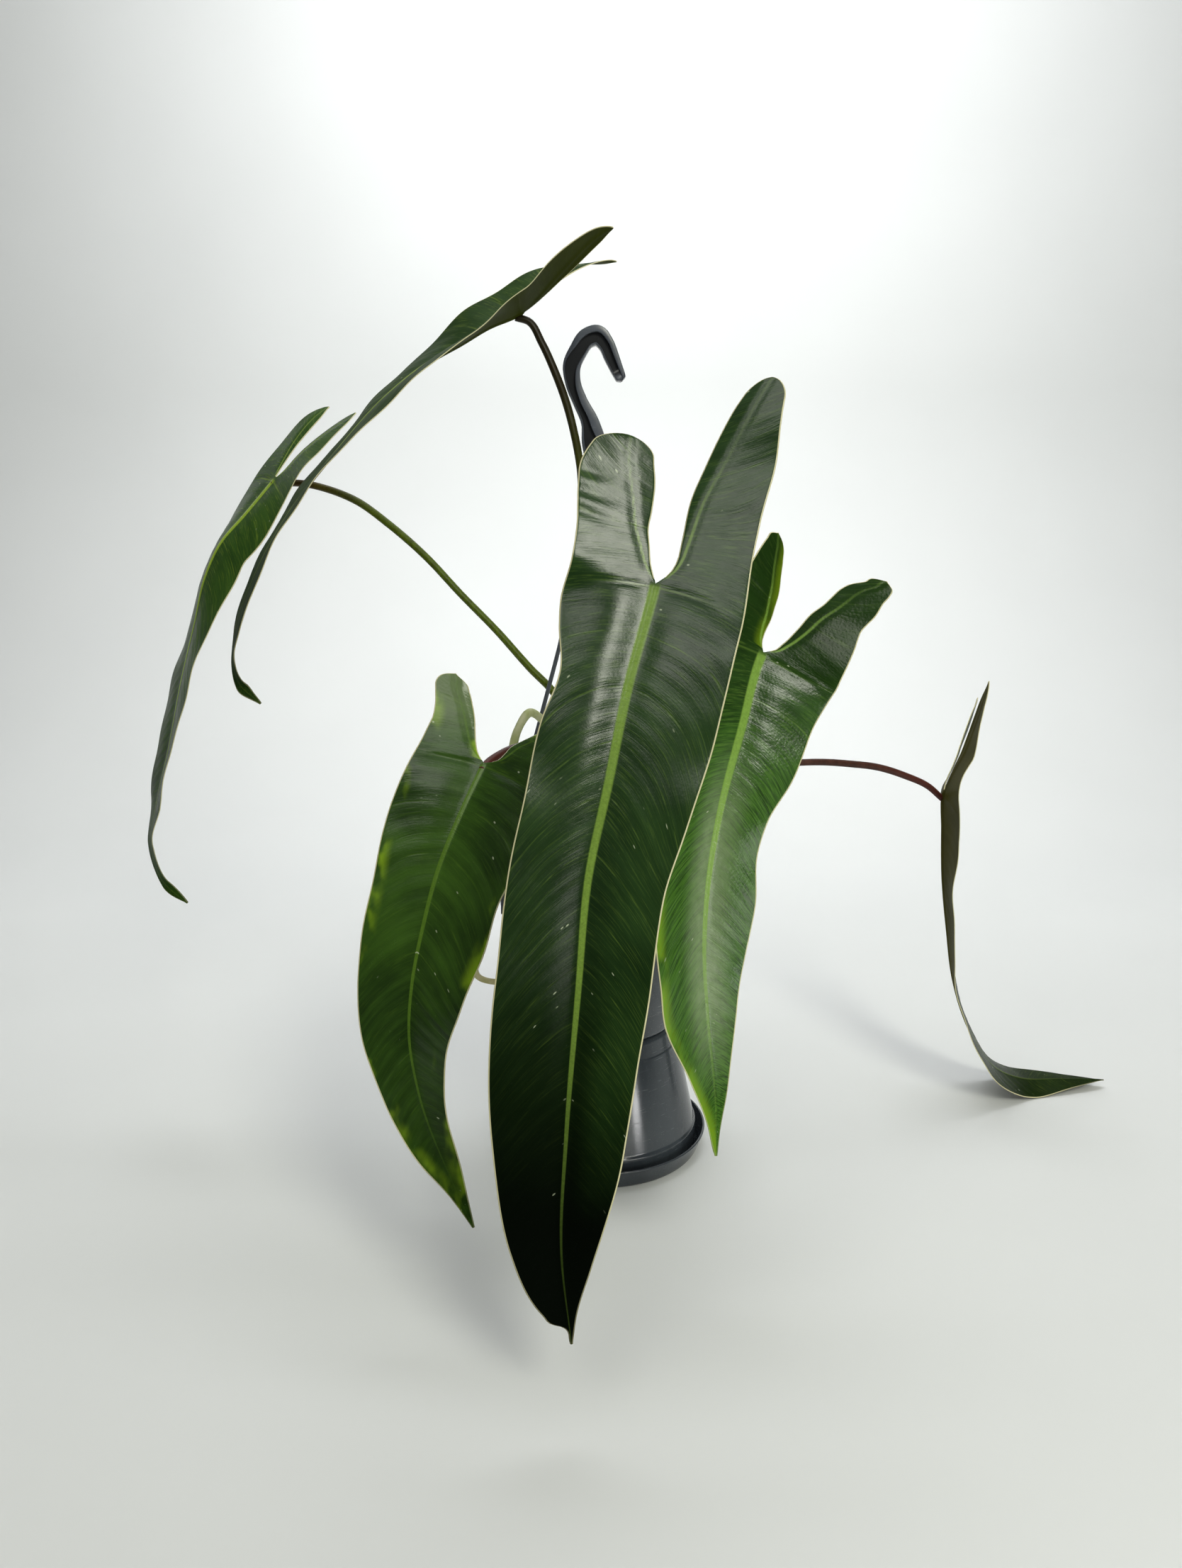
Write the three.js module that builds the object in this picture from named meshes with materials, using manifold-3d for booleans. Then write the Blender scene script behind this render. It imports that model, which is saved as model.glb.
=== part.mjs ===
// A potted Philodendron spiritus-sancti: six long, arrow-shaped leaves on a short stem that grows in
// a small hanging pot. The hanging pot stands on an upturned pot, which stands in a saucer.
// Millimetres, +Z up. The origin is the middle of the saucer's underside, and the plant faces -Y.
import * as THREE from 'three';
import { mergeVertices } from 'three/addons/utils/BufferGeometryUtils.js';
import Module from 'manifold-3d';

const manifold = await Module();
manifold.setup();

// Driving dimensions
const GAP = 0.3;
const SEAT = 0.55;
const ROUND = 36;

const SAUCER = { foot: 59.2, rim: 63.3, height: 12, wall: 1.3, floor: 1.5 };
const POT = {
  height: 78, base: 43, shoulder: 44.6, wallFoot: 45.2, wallTop: 56.3, lip: 57.5, lipHeight: 14, wall: 1.8,
};
const STAND_SHOULDER = 11;
const HANGING_SHOULDER = 15;
const DRAIN = { radius: 4, ring: 28, count: 6 };
const STAND_Z = SAUCER.floor + GAP;
const HANGING_Z = STAND_Z + POT.height + GAP;
const RIM_Z = HANGING_Z + POT.height;

const HANGER = { depth: 7, web: 2.4, flange: 1.6, armWidth: 5, clipWidth: 9 };
const ARM_TURNS = [180, 60, -60];

const SOIL_TOP = RIM_Z - 9;
const BARK_CHUNKS = 26;

const BLADE = { half: 0.6, rib: 1.1, ribHalfWidth: 2.4 };
const PETIOLE = { base: 3.6, middle: 2.1, neck: 1.9 };
const ATTACH = 3.5;

// Colours
const LEAF_DARK = 0x24331c;
const LEAF_MID = 0x3a5a22;
const PLASTIC = 0x3f444c;

function matt(color, roughness = 0.6) {
  return new THREE.MeshStandardMaterial({ color, roughness, metalness: 0 });
}

// Solids
function signedVolume(position, index) {
  const a = new THREE.Vector3();
  const b = new THREE.Vector3();
  const c = new THREE.Vector3();
  let sum = 0;
  for (let i = 0; i < index.length; i += 3) {
    a.fromBufferAttribute(position, index[i]);
    b.fromBufferAttribute(position, index[i + 1]);
    c.fromBufferAttribute(position, index[i + 2]);
    sum += a.dot(b.cross(c)) / 6;
  }
  return sum;
}

// The same surface with shared corners, no collapsed triangles, and its faces pointing out.
function closed(geometry) {
  const bare = new THREE.BufferGeometry();
  bare.setAttribute('position', geometry.getAttribute('position').clone());
  if (geometry.index) {
    bare.setIndex(geometry.index.clone());
  }
  const merged = mergeVertices(bare, 1e-4);
  const corners = merged.index.array;
  const kept = [];
  for (let i = 0; i < corners.length; i += 3) {
    const [a, b, c] = [corners[i], corners[i + 1], corners[i + 2]];
    if (a !== b && b !== c && c !== a) {
      kept.push(a, b, c);
    }
  }
  if (signedVolume(merged.getAttribute('position'), kept) < 0) {
    kept.reverse();
  }
  merged.setIndex(kept);
  return merged;
}

function solid(geometry) {
  const shell = closed(geometry);
  return new manifold.Manifold(new manifold.Mesh({
    numProp: 3,
    vertProperties: Float32Array.from(shell.getAttribute('position').array),
    triVerts: Uint32Array.from(shell.index.array),
  }));
}

function surface(body) {
  const { vertProperties, triVerts } = body.getMesh();
  const geometry = new THREE.BufferGeometry();
  geometry.setAttribute('position', new THREE.BufferAttribute(vertProperties, 3));
  geometry.setIndex(new THREE.BufferAttribute(triVerts, 1));
  return geometry;
}

// A solid of revolution about Z from [radius, height] pairs that start and end on the axis.
function turned(profile, sides = ROUND) {
  const points = profile.map(([radius, height]) => new THREE.Vector2(radius, height));
  return new THREE.LatheGeometry(points, sides).rotateX(Math.PI / 2);
}

// Smooth curves through points
function slopesThrough(knots, values) {
  const last = knots.length - 1;
  const rise = knots.slice(1).map((knot, i) => (values[i + 1] - values[i]) / (knot - knots[i]));
  return knots.map((knot, i) => {
    if (i === 0 || i === last) {
      return rise[i === 0 ? 0 : last - 1];
    }
    const before = knot - knots[i - 1];
    const after = knots[i + 1] - knot;
    return (rise[i - 1] * after + rise[i] * before) / (before + after);
  });
}

function through(pairs) {
  const knots = pairs.map((pair) => pair[0]);
  const values = pairs.map((pair) => pair[1]);
  const slopes = slopesThrough(knots, values);
  return (at) => {
    const t = Math.min(Math.max(at, knots[0]), knots[knots.length - 1]);
    let i = 0;
    while (i < knots.length - 2 && t > knots[i + 1]) {
      i += 1;
    }
    const span = knots[i + 1] - knots[i];
    const u = (t - knots[i]) / span;
    return (1 + 2 * u) * (1 - u) ** 2 * values[i] + u * (1 - u) ** 2 * span * slopes[i]
      + u * u * (3 - 2 * u) * values[i + 1] + u * u * (u - 1) * span * slopes[i + 1];
  };
}

class SmoothPath extends THREE.Curve {
  constructor(points) {
    super();
    this.arcLengthDivisions = 400;
    const vectors = points.map((point) => new THREE.Vector3(...point));
    this.knots = [0];
    for (let i = 1; i < vectors.length; i += 1) {
      this.knots.push(this.knots[i - 1] + vectors[i].distanceTo(vectors[i - 1]));
    }
    this.span = this.knots[this.knots.length - 1];
    this.axes = ['x', 'y', 'z'].map((axis) => through(this.knots.map((knot, i) => [knot, vectors[i][axis]])));
  }

  getPoint(t, target = new THREE.Vector3()) {
    const at = t * this.span;
    return target.set(this.axes[0](at), this.axes[1](at), this.axes[2](at));
  }
}

// A round stalk along a path, whose girth gives the radius at each share of its length.
function stalk(points, girth, steps, sides) {
  const path = new SmoothPath(points);
  const { normals, binormals } = path.computeFrenetFrames(steps, false);
  const positions = [];
  const index = [];
  for (let i = 0; i <= steps; i += 1) {
    const centre = path.getPointAt(i / steps);
    const radius = girth(i / steps);
    for (let k = 0; k < sides; k += 1) {
      const turn = 2 * Math.PI * k / sides;
      const out = normals[i].clone().multiplyScalar(Math.cos(turn) * radius)
        .addScaledVector(binormals[i], Math.sin(turn) * radius);
      positions.push(...centre.clone().add(out).toArray());
    }
  }
  for (let i = 0; i < steps; i += 1) {
    for (let k = 0; k < sides; k += 1) {
      const a = i * sides + k;
      const b = i * sides + (k + 1) % sides;
      index.push(a, b, a + sides, b, b + sides, a + sides);
    }
  }
  for (let k = 1; k < sides - 1; k += 1) {
    const end = steps * sides;
    index.push(0, k + 1, k, end, end + k, end + k + 1);
  }
  const geometry = new THREE.BufferGeometry();
  geometry.setAttribute('position', new THREE.Float32BufferAttribute(positions, 3));
  geometry.setIndex(index);
  return geometry;
}

// Pots
function saucer() {
  const { foot, rim, height, wall, floor } = SAUCER;
  return closed(turned([
    [0, 0], [foot - 1, 0], [foot, 1], [rim, height - 0.5], [rim - 0.4, height],
    [rim - wall, height], [foot - wall + 0.3, floor + 0.6], [foot - wall - 0.4, floor], [0, floor],
  ]));
}

// A pot on its base: a shoulder above the base, a straight wall, and a lip that stands proud of it.
function pot(shoulder) {
  const { height, base, wallFoot, wallTop, lip, lipHeight, wall } = POT;
  const body = solid(turned([
    [0, 0], [base - 1.5, 0], [base, 1.5], [POT.shoulder, shoulder - 0.4], [wallFoot, shoulder],
    [wallTop, height - lipHeight - 1.2], [lip - 0.2, height - lipHeight], [lip, height - 1],
    [lip - 0.7, height], [lip - wall, height], [lip - wall - 0.3, height - lipHeight + 0.6],
    [wallTop - wall, height - lipHeight - 1.6], [base + 1 - wall, wall + 1.2], [base - wall - 1.5, wall], [0, wall],
  ]));
  let drained = body;
  for (let i = 0; i < DRAIN.count; i += 1) {
    const turn = 2 * Math.PI * (i + 0.5) / DRAIN.count;
    const hole = new THREE.CylinderGeometry(DRAIN.radius, DRAIN.radius, 6, 12).rotateX(Math.PI / 2)
      .translate(DRAIN.ring * Math.cos(turn), DRAIN.ring * Math.sin(turn), 1);
    drained = drained.subtract(solid(hole));
  }
  return surface(drained);
}

// Hanger
// A flat ribbon of varying width along a centre line in the XZ plane, as thick as depth along Y.
function ribbon(line, depth, inset = 0) {
  const left = [];
  const right = [];
  line.forEach(([x, z, half], i) => {
    const before = line[Math.max(i - 1, 0)];
    const after = line[Math.min(i + 1, line.length - 1)];
    const along = new THREE.Vector2(after[0] - before[0], after[1] - before[1]).normalize();
    const width = half - inset;
    const shift = i === 0 ? inset : i === line.length - 1 ? -inset : 0;
    const centre = new THREE.Vector2(x + along.x * shift, z + along.y * shift);
    left.push(new THREE.Vector2(centre.x - along.y * width, centre.y + along.x * width));
    right.unshift(new THREE.Vector2(centre.x + along.y * width, centre.y - along.x * width));
  });
  const shape = new THREE.Shape([...left, ...right]);
  return new THREE.ExtrudeGeometry(shape, { depth, bevelEnabled: false }).rotateX(Math.PI / 2)
    .translate(0, depth / 2, 0);
}

// The hook's rib, from the crown up and over to its tip: x, z and half its width.
const HOOK_LINE = [
  [-3, 404, 6.6], [-5.5, 416, 6.6], [-7.6, 426, 4.9], [-13, 437, 4.0], [-16.8, 446, 3.8], [-18, 455, 4.4],
  [-15.4, 463, 4.7], [-10, 469.5, 5], [-3.6, 471, 5], [1, 466.5, 4.3], [4, 460, 4], [7.4, 452.5, 3.5], [9.4, 448.5, 2.9],
];

// One arm, from the crown down to its clip: radius, height and half its thickness.
const ARM_LINE = [
  [5, 402, 2.2], [9, 390, 1.5], [15, 352, 1.2], [25, 304, 1.2], [32.5, 276, 1.2], [39.5, 250, 1.2],
  [50, 205, 1.2], [57.6, 170, 1.2], [59.1, 161, 1.2], [59.3, RIM_Z - 11, 1.2],
];

function block(fromX, toX, width, fromZ, toZ) {
  return new THREE.BoxGeometry(toX - fromX, width, toZ - fromZ)
    .translate((fromX + toX) / 2, 0, (fromZ + toZ) / 2);
}

function hanger() {
  const { depth, web, flange, armWidth, clipWidth } = HANGER;
  const recess = (depth - web) / 2;
  let body = solid(ribbon(HOOK_LINE, depth));
  for (const side of [-1, 1]) {
    const hollow = ribbon(HOOK_LINE, recess + 1, flange).translate(0, side * (web / 2 + (recess + 1) / 2), 0);
    body = body.subtract(solid(hollow));
  }
  const crown = turned([[0, 392], [8, 392], [9.5, 394], [9, 399], [6, 406], [3, 410], [0, 411]], 20)
    .translate(-1, 0, 0);
  body = body.add(solid(crown));
  const lipInside = POT.lip - POT.wall;
  for (const turn of ARM_TURNS) {
    const pieces = [
      ribbon(ARM_LINE, armWidth),
      block(POT.lip + SEAT, POT.lip + SEAT + 2.4, clipWidth, RIM_Z - 12, RIM_Z + 2),
      block(lipInside - SEAT - 1.8, POT.lip + SEAT + 1, clipWidth, RIM_Z + SEAT, RIM_Z + 2.6),
      block(lipInside - SEAT - 1.8, lipInside - SEAT - 0.3, clipWidth, RIM_Z - 4, RIM_Z + 1.5),
    ];
    for (const piece of pieces) {
      body = body.add(solid(piece.rotateZ(THREE.MathUtils.degToRad(turn))));
    }
  }
  return surface(body);
}

// Stem, roots and leaf stalks
const STEM_PATH = [[-1, 1, 100], [-1, 0, 128], [0, 0, 150], [1, -1, 180], [-1, -2, 210], [-2, -4, 240]];
const STEM_NODES = [0.52, 0.63, 0.73, 0.82, 0.9, 0.97];

function stemGirth(grow = 0) {
  return (share) => {
    const swell = STEM_NODES.reduce((sum, node) => sum + 1.1 * Math.exp(-(((share - node) / 0.018) ** 2)), 0);
    return 6.6 - 0.9 * share + swell * (share < 0.5 ? 0 : 1) + grow;
  };
}

// The stem, or the room that it takes up in its neighbours when it grows by a gap all round.
function stem(grow = 0) {
  const path = STEM_PATH.map((point) => [...point]);
  path[0][2] -= grow;
  path[path.length - 1][2] += grow;
  return stalk(path, stemGirth(grow), 30, 10);
}

// The root leaves the stem, goes over the rim of the pot and hangs down outside it.
const ROOT_PATH = [
  [-3, -6, 226], [-13, -14, 241], [-23, -26, 259], [-32, -39, 267], [-40, -50, 273], [-46, -57, 264], [-49, -60, 250],
  [-55, -66, 210], [-64, -68, 167], [-70, -68, 143], [-68, -68, 132], [-59, -68, 129], [-43, -68, 133],
  [-31, -66, 143],
];

function rootGirth(grow = 0) {
  return (share) => 2.3 - 0.9 * share ** 3 + grow;
}

// Each leaf stalk, from inside the stem to just behind its blade.
const PETIOLE_PATHS = {
  front: [[-2, -4, 232], [2, -20, 246], [6, -60, 283], [10, -105, 322], [15, -142, 336], [19, -158, 338]],
  left: [[-1, -3, 203], [-8, -20, 214], [-22, -54, 240], [-38, -90, 262], [-50, -112, 262], [-56, -121, 259]],
  right: [[0, -3, 214], [14, -12, 227], [32, -30, 252], [49, -60, 284], [64, -87, 301], [73, -99, 306]],
  top: [[-2, -4, 234], [-4, -6, 252], [-6, -9, 278], [-8, -11, 318], [-12, -13, 364], [-13, -13, 403],
    [-16, -13, 419], [-20, -12, 434], [-26, -12, 450], [-33, -11, 465], [-40, -11, 476]],
  farLeft: [[-2, -3, 219], [-10, 2, 234], [-18, 6, 256], [-29, 9, 277], [-42, 12, 290], [-62, 16, 312],
    [-83, 20, 333], [-103, 24, 354], [-124, 28, 372], [-144, 31, 386], [-159, 33, 392], [-180, 36, 396]],
  farRight: [[0, -1, 190], [18, 3, 203], [46, 11, 216], [81, 20, 226], [112, 28, 231], [134, 33, 231],
    [152, 38, 229], [171, 42, 226], [189, 45, 220], [204, 48, 213]],
};

function petioleGirth(share) {
  const { base, middle, neck } = PETIOLE;
  return through([[0, base], [0.12, base - 0.9], [0.4, middle], [0.88, middle], [1, neck]])(share);
}

// The outline of one half of a leaf that hangs at its natural shape: distance along the midrib from the
// sinus, and distance out from it, for the outer margin and for the inner margin of the lobe.
function naturalHalf(length, width, lobe) {
  const outer = [[-1, 0.7], [-0.78, 0.9], [-0.4, 1]].map(([v, x]) => [v * lobe, x * width]);
  const blade = [[0, 1], [0.2, 0.92], [0.4, 0.84], [0.6, 0.74], [0.77, 0.55], [0.9, 0.32], [0.97, 0.13]];
  const inner = [[-1, 0.5], [-0.64, 0.32], [-0.32, 0.18], [-0.1, 0.08], [0, 0]];
  return {
    outer: [...outer, ...blade.map(([v, x]) => [v * length, x * width]), [length, 0.6]],
    inner: inner.map(([v, x]) => [v * lobe, x * width]),
    round: 0.16 * lobe,
  };
}

// Leaves. The midrib's line runs from above the lobes through the sinus to the tip, and faces is the way
// the upper side looks. Along the midrib, turn tips the whole leaf over to its right and fold raises both
// halves from flat, in degrees. Left and right are as seen on the upper side with the tip down.
const LEAVES = {
  front: {
    midrib: [[46, -134, 446], [28, -152, 379], [20, -166, 344], [8, -184, 302], [0, -198, 265],
      [-8, -209, 229], [-12, -219, 186], [-17, -228, 126], [-19, -234, 77], [-15, -238, 39]],
    sinus: 2,
    faces: [0, -0.8, 0.6],
    fold: [[0, 12], [300, 12]],
    left: {
      outer: [[-60, 36], [-53, 39.5], [-45, 42], [-33, 40.8], [-20, 38.3], [0, 36.8], [17, 36.6], [29, 34],
        [45, 29], [68, 32], [110, 32], [150, 33], [180, 34], [210, 33], [247, 28], [278, 21], [304, 10.5],
        [309, 7], [311, 3.4], [319, 0.6]],
      inner: [[-60, 13], [-54, 12], [-44, 9], [-31, 7.7], [-23, 7.6], [-16, 5.8], [-8, 3.7], [0, 0]],
      round: 6,
    },
    right: {
      outer: [[-97, 36], [-86, 36.8], [-77, 37.8], [-61, 39.6], [-30, 38.8], [-12, 38.6], [17, 40.5],
        [62, 40], [97, 36], [128, 32], [160, 30], [194, 27.5], [227, 25], [253, 21.5], [287, 12], [308, 3.5],
        [319, 0.6]],
      inner: [[-97, 22], [-82, 15.7], [-69, 12.3], [-54, 9.4], [-41, 7.2], [-19, 7], [-10, 6.5], [-5, 4.5], [0, 0]],
      round: 8,
    },
  },
  left: {
    midrib: [[-27, -100, 320], [-50, -116, 277], [-57, -125, 260], [-66, -135, 241], [-77, -147, 214],
      [-83, -156, 191], [-88, -164, 164], [-89, -169, 144], [-85, -173, 118], [-70, -177, 75], [-61, -178, 53]],
    sinus: 2,
    faces: [-0.2, -0.8, 0.55],
    fold: [[0, 12], [200, 12]],
    left: {
      outer: [[-37, 32], [-26, 37], [-12, 31.5], [14, 31], [38, 29.5], [62, 27.5], [93, 27], [111, 25],
        [129, 22], [144, 18.5], [165, 15], [185, 11], [208, 4], [226, 0.6]],
      inner: [[-37, 28], [-30, 24], [-19, 15], [-4, 5.5], [0, 0]],
      round: 8,
    },
    right: {
      outer: [[-44, 44], [-20, 49], [0, 46], [20, 43], [44, 40.5], [62, 37], [88, 34], [116, 27], [141, 17.5],
        [161, 12], [185, 8.5], [212, 3.5], [226, 0.6]],
      inner: [[-44, 40], [-18, 22], [-9, 10], [0, 0]],
      round: 12,
    },
  },
  right: {
    midrib: [[138, -74, 404], [104, -90, 355], [88, -98, 330], [75, -105, 310], [64, -117, 275],
      [54, -128, 240], [48, -136, 207], [46, -141, 178], [48, -145, 141], [52, -148, 102], [53, -150, 73]],
    sinus: 3,
    faces: [0.35, -0.75, 0.5],
    fold: [[0, 15], [200, 15]],
    left: {
      outer: [[-50, 27], [-45, 30.5], [-32, 30], [0, 29], [60, 31], [100, 31], [131, 30], [156, 29], [174, 27],
        [203, 16], [232, 4.5], [246, 0.6]],
      inner: [[-50, 23], [-42, 15.7], [-30, 9.2], [-18, 5.8], [-5, 2.3], [0, 0]],
      round: 8,
    },
    right: {
      outer: [[-60, 35], [-47, 38], [-35, 35], [-21, 37.7], [-6, 39.7], [30, 34], [57, 30], [79, 23.5],
        [94, 22], [123, 24], [146, 21], [176, 15], [210, 8], [232, 3], [246, 0.6]],
      inner: [[-60, 30], [-50, 19], [-35, 14], [-19, 10], [-4, 5], [0, 0]],
      round: 8,
    },
  },
  top: {
    midrib: [[16, -8, 520], [-1, -8, 511], [-22, -9, 496], [-44, -11, 480], [-61, -16, 472], [-75, -21, 463],
      [-94, -29, 451], [-112, -35, 436], [-139, -43, 406], [-154, -46, 388], [-169, -48, 367],
      [-183, -50, 341], [-193, -50, 316], [-195, -50, 300], [-192, -50, 288], [-182, -50, 278]],
    sinus: 3,
    faces: [-0.7, -0.33, 0.7],
    turn: [[-60, -28], [-30, -9], [0, 2], [60, 2], [100, -1], [140, -3], [220, 1], [260, 4]],
    fold: [[-60, 1], [-30, 22], [0, 24], [30, 13], [60, 3], [100, -1], [140, 2], [220, -1], [260, 1]],
    left: naturalHalf(275, 33, 60),
    right: naturalHalf(275, 33, 61),
  },
  farLeft: {
    midrib: [[-143, 38, 444], [-156, 37, 435], [-175, 36, 418], [-191, 34, 398], [-208, 30, 378],
      [-223, 27, 361], [-232, 24, 342], [-239, 22, 316], [-248, 19, 283], [-258, 17, 242], [-267, 16, 210],
      [-272, 15, 184], [-266, 15, 160], [-253, 15, 147]],
    sinus: 3,
    faces: [-0.72, -0.55, 0.6],
    turn: [[-60, -3], [0, 1], [30, 3], [60, 1], [100, -6], [180, -6], [220, -8], [270, -11]],
    fold: [[-60, -5], [-30, 0], [0, -1], [30, -11], [60, -18], [100, -6], [140, 2], [180, 7], [220, 3], [270, -2]],
    left: naturalHalf(278, 33, 51),
    right: naturalHalf(278, 33, 63),
  },
  farRight: {
    midrib: [[241, 50, 305], [234, 50, 270], [224, 50, 235], [215, 50, 208], [216, 50, 185], [218, 50, 154],
      [223, 50, 118], [229, 50, 84], [237, 51, 60], [249, 54, 37], [264, 58, 18], [284, 63, 8],
      [313, 66, 6], [341, 66, 5.4]],
    sinus: 3,
    faces: [0.8, -0.17, 0.65],
    turn: [[-60, 1], [-30, 4], [0, 5], [30, 3], [60, 0], [180, 0], [220, 8], [260, 15]],
    fold: [[-60, 3], [0, 8], [30, 8], [60, 6], [100, 4], [140, 1], [180, -1], [220, -10], [260, -11]],
    left: naturalHalf(282, 33, 75),
    right: naturalHalf(282, 33, 62),
  },
};

const LOBE_ROWS = 6;
const BLADE_ROWS = 18;
const COLUMNS = [0, 0.08, 0.36, 0.68, 1];

// The leaf's middle surface: where the point lies that is v along the midrib and x out from it.
function leafSheet({ midrib, sinus, faces, turn = [[0, 0], [1, 0]], fold }) {
  const path = new SmoothPath(midrib);
  const lengths = path.getLengths();
  const total = lengths[lengths.length - 1];
  const steps = lengths.length - 1;
  const sinusAt = path.knots[sinus] / path.span * steps;
  const below = Math.floor(sinusAt);
  const start = lengths[below] + (lengths[Math.min(below + 1, steps)] - lengths[below]) * (sinusAt - below);
  const foldAt = through(fold);
  const turnAt = through(turn);
  const facing = new THREE.Vector3(...faces);
  const frame = (v) => {
    const share = Math.min(Math.max((v + start) / total, 0.002), 0.998);
    const tangent = path.getTangentAt(share);
    const normal = facing.clone().addScaledVector(tangent, -facing.dot(tangent)).normalize()
      .applyAxisAngle(tangent, THREE.MathUtils.degToRad(-turnAt(v)));
    const across = normal.clone().cross(tangent);
    const centre = path.getPointAt(share).addScaledVector(tangent, v + start - share * total);
    return { centre, normal, across };
  };
  const point = (side, v, x) => {
    const { centre, normal, across } = frame(v);
    const angle = THREE.MathUtils.degToRad(foldAt(v));
    return centre.addScaledVector(across, side * x * Math.cos(angle))
      .addScaledVector(normal, x * Math.sin(angle));
  };
  return { point, frame, length: total - start };
}

// Inner and outer margin of one half at v, with the end of the lobe rounded off.
function marginsOf(half) {
  const outerAt = through(half.outer);
  const innerAt = through(half.inner);
  const end = half.outer[0][0];
  return (v) => {
    const outer = outerAt(v);
    const inner = v < 0 ? innerAt(v) : 0;
    const u = Math.min(Math.max((v - end) / half.round, 0.01), 1);
    const keep = Math.sqrt(1 - (1 - u) ** 2);
    const middle = (inner + outer) / 2;
    return [middle + (inner - middle) * keep, middle + (outer - middle) * keep];
  };
}

// The sheet's grid of points and triangles: a lobe and half a blade on either side of the midrib.
function leafGrid(leaf) {
  const sheet = leafSheet(leaf);
  const points = [];
  const ribs = [];
  const index = [];
  const shared = [];
  for (const side of [-1, 1]) {
    const half = side < 0 ? leaf.left : leaf.right;
    const margins = marginsOf(half);
    const end = half.outer[0][0];
    const rows = [];
    for (let i = 0; i < LOBE_ROWS; i += 1) {
      rows.push(end * Math.cos(Math.PI / 2 * i / LOBE_ROWS));
    }
    for (let i = 0; i <= BLADE_ROWS; i += 1) {
      rows.push(sheet.length * i / BLADE_ROWS);
    }
    const numbers = rows.map((v) => {
      const [inner, outer] = margins(v);
      return COLUMNS.map((column, k) => {
        const onMidrib = k === 0 && v >= 0;
        if (onMidrib && side > 0) {
          return shared[Math.round(v / sheet.length * BLADE_ROWS)];
        }
        const ribEdge = Math.min(BLADE.ribHalfWidth * (1 - 0.7 * v / sheet.length), 0.25 * outer);
        const x = k === 1 && v >= 0 ? ribEdge : inner + (outer - inner) * column;
        points.push(sheet.point(side, v, x));
        ribs.push(onMidrib ? BLADE.rib * (1 - 0.8 * v / sheet.length) : 0);
        if (onMidrib) {
          shared.push(points.length - 1);
        }
        return points.length - 1;
      });
    });
    for (let i = 0; i < rows.length - 1; i += 1) {
      for (let k = 0; k < COLUMNS.length - 1; k += 1) {
        const [a, b] = [numbers[i][k], numbers[i][k + 1]];
        const [c, d] = [numbers[i + 1][k + 1], numbers[i + 1][k]];
        if (side > 0) {
          index.push(a, b, c, a, c, d);
        } else {
          index.push(a, c, b, a, d, c);
        }
      }
    }
  }
  return { points, ribs, index };
}

function pointNormals(points, index) {
  const normals = points.map(() => new THREE.Vector3());
  for (let i = 0; i < index.length; i += 3) {
    const [a, b, c] = [index[i], index[i + 1], index[i + 2]];
    const face = points[b].clone().sub(points[a]).cross(points[c].clone().sub(points[a]));
    for (const corner of [a, b, c]) {
      normals[corner].add(face);
    }
  }
  return normals.map((normal) => normal.normalize());
}

// A blade of even thickness with its midrib standing out below, triangulated alike on both faces.
function blade(leaf, grow = 0) {
  const { points, ribs, index } = leafGrid(leaf);
  const normals = pointNormals(points, index);
  const count = points.length;
  const positions = [];
  points.forEach((point, i) => {
    positions.push(...point.clone().addScaledVector(normals[i], -BLADE.half - ribs[i] - grow).toArray());
  });
  points.forEach((point, i) => {
    positions.push(...point.clone().addScaledVector(normals[i], BLADE.half + grow).toArray());
  });
  const triangles = [];
  const borders = new Map();
  for (let i = 0; i < index.length; i += 3) {
    const corners = [index[i], index[i + 1], index[i + 2]];
    triangles.push(corners[0], corners[2], corners[1]);
    triangles.push(...corners.map((corner) => corner + count));
    corners.forEach((a, k) => {
      const b = corners[(k + 1) % 3];
      if (!borders.delete(`${b},${a}`)) {
        borders.set(`${a},${b}`, [a, b]);
      }
    });
  }
  for (const [a, b] of borders.values()) {
    triangles.push(a, b, b + count, a, b + count, a + count);
  }
  const geometry = new THREE.BufferGeometry();
  geometry.setAttribute('position', new THREE.Float32BufferAttribute(positions, 3));
  geometry.setIndex(triangles);
  return closed(geometry);
}

// A leaf stalk, cut to sit against the stem at its foot and against the midrib's underside at its head.
function petiole(name, stemRoom) {
  const leaf = LEAVES[name];
  const { centre, normal } = leafSheet(leaf).frame(ATTACH);
  const end = centre.clone().addScaledVector(normal, -1);
  const body = solid(stalk([...PETIOLE_PATHS[name], end.toArray()], petioleGirth, 22, 8));
  return surface(body.subtract(stemRoom).subtract(solid(blade(leaf, GAP))));
}

// Soil
// Random numbers between 0 and 1 that come out alike on every run.
function seeded(seed) {
  let state = seed;
  return () => {
    state = (state * 16807) % 2147483647;
    return state / 2147483647;
  };
}

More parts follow.
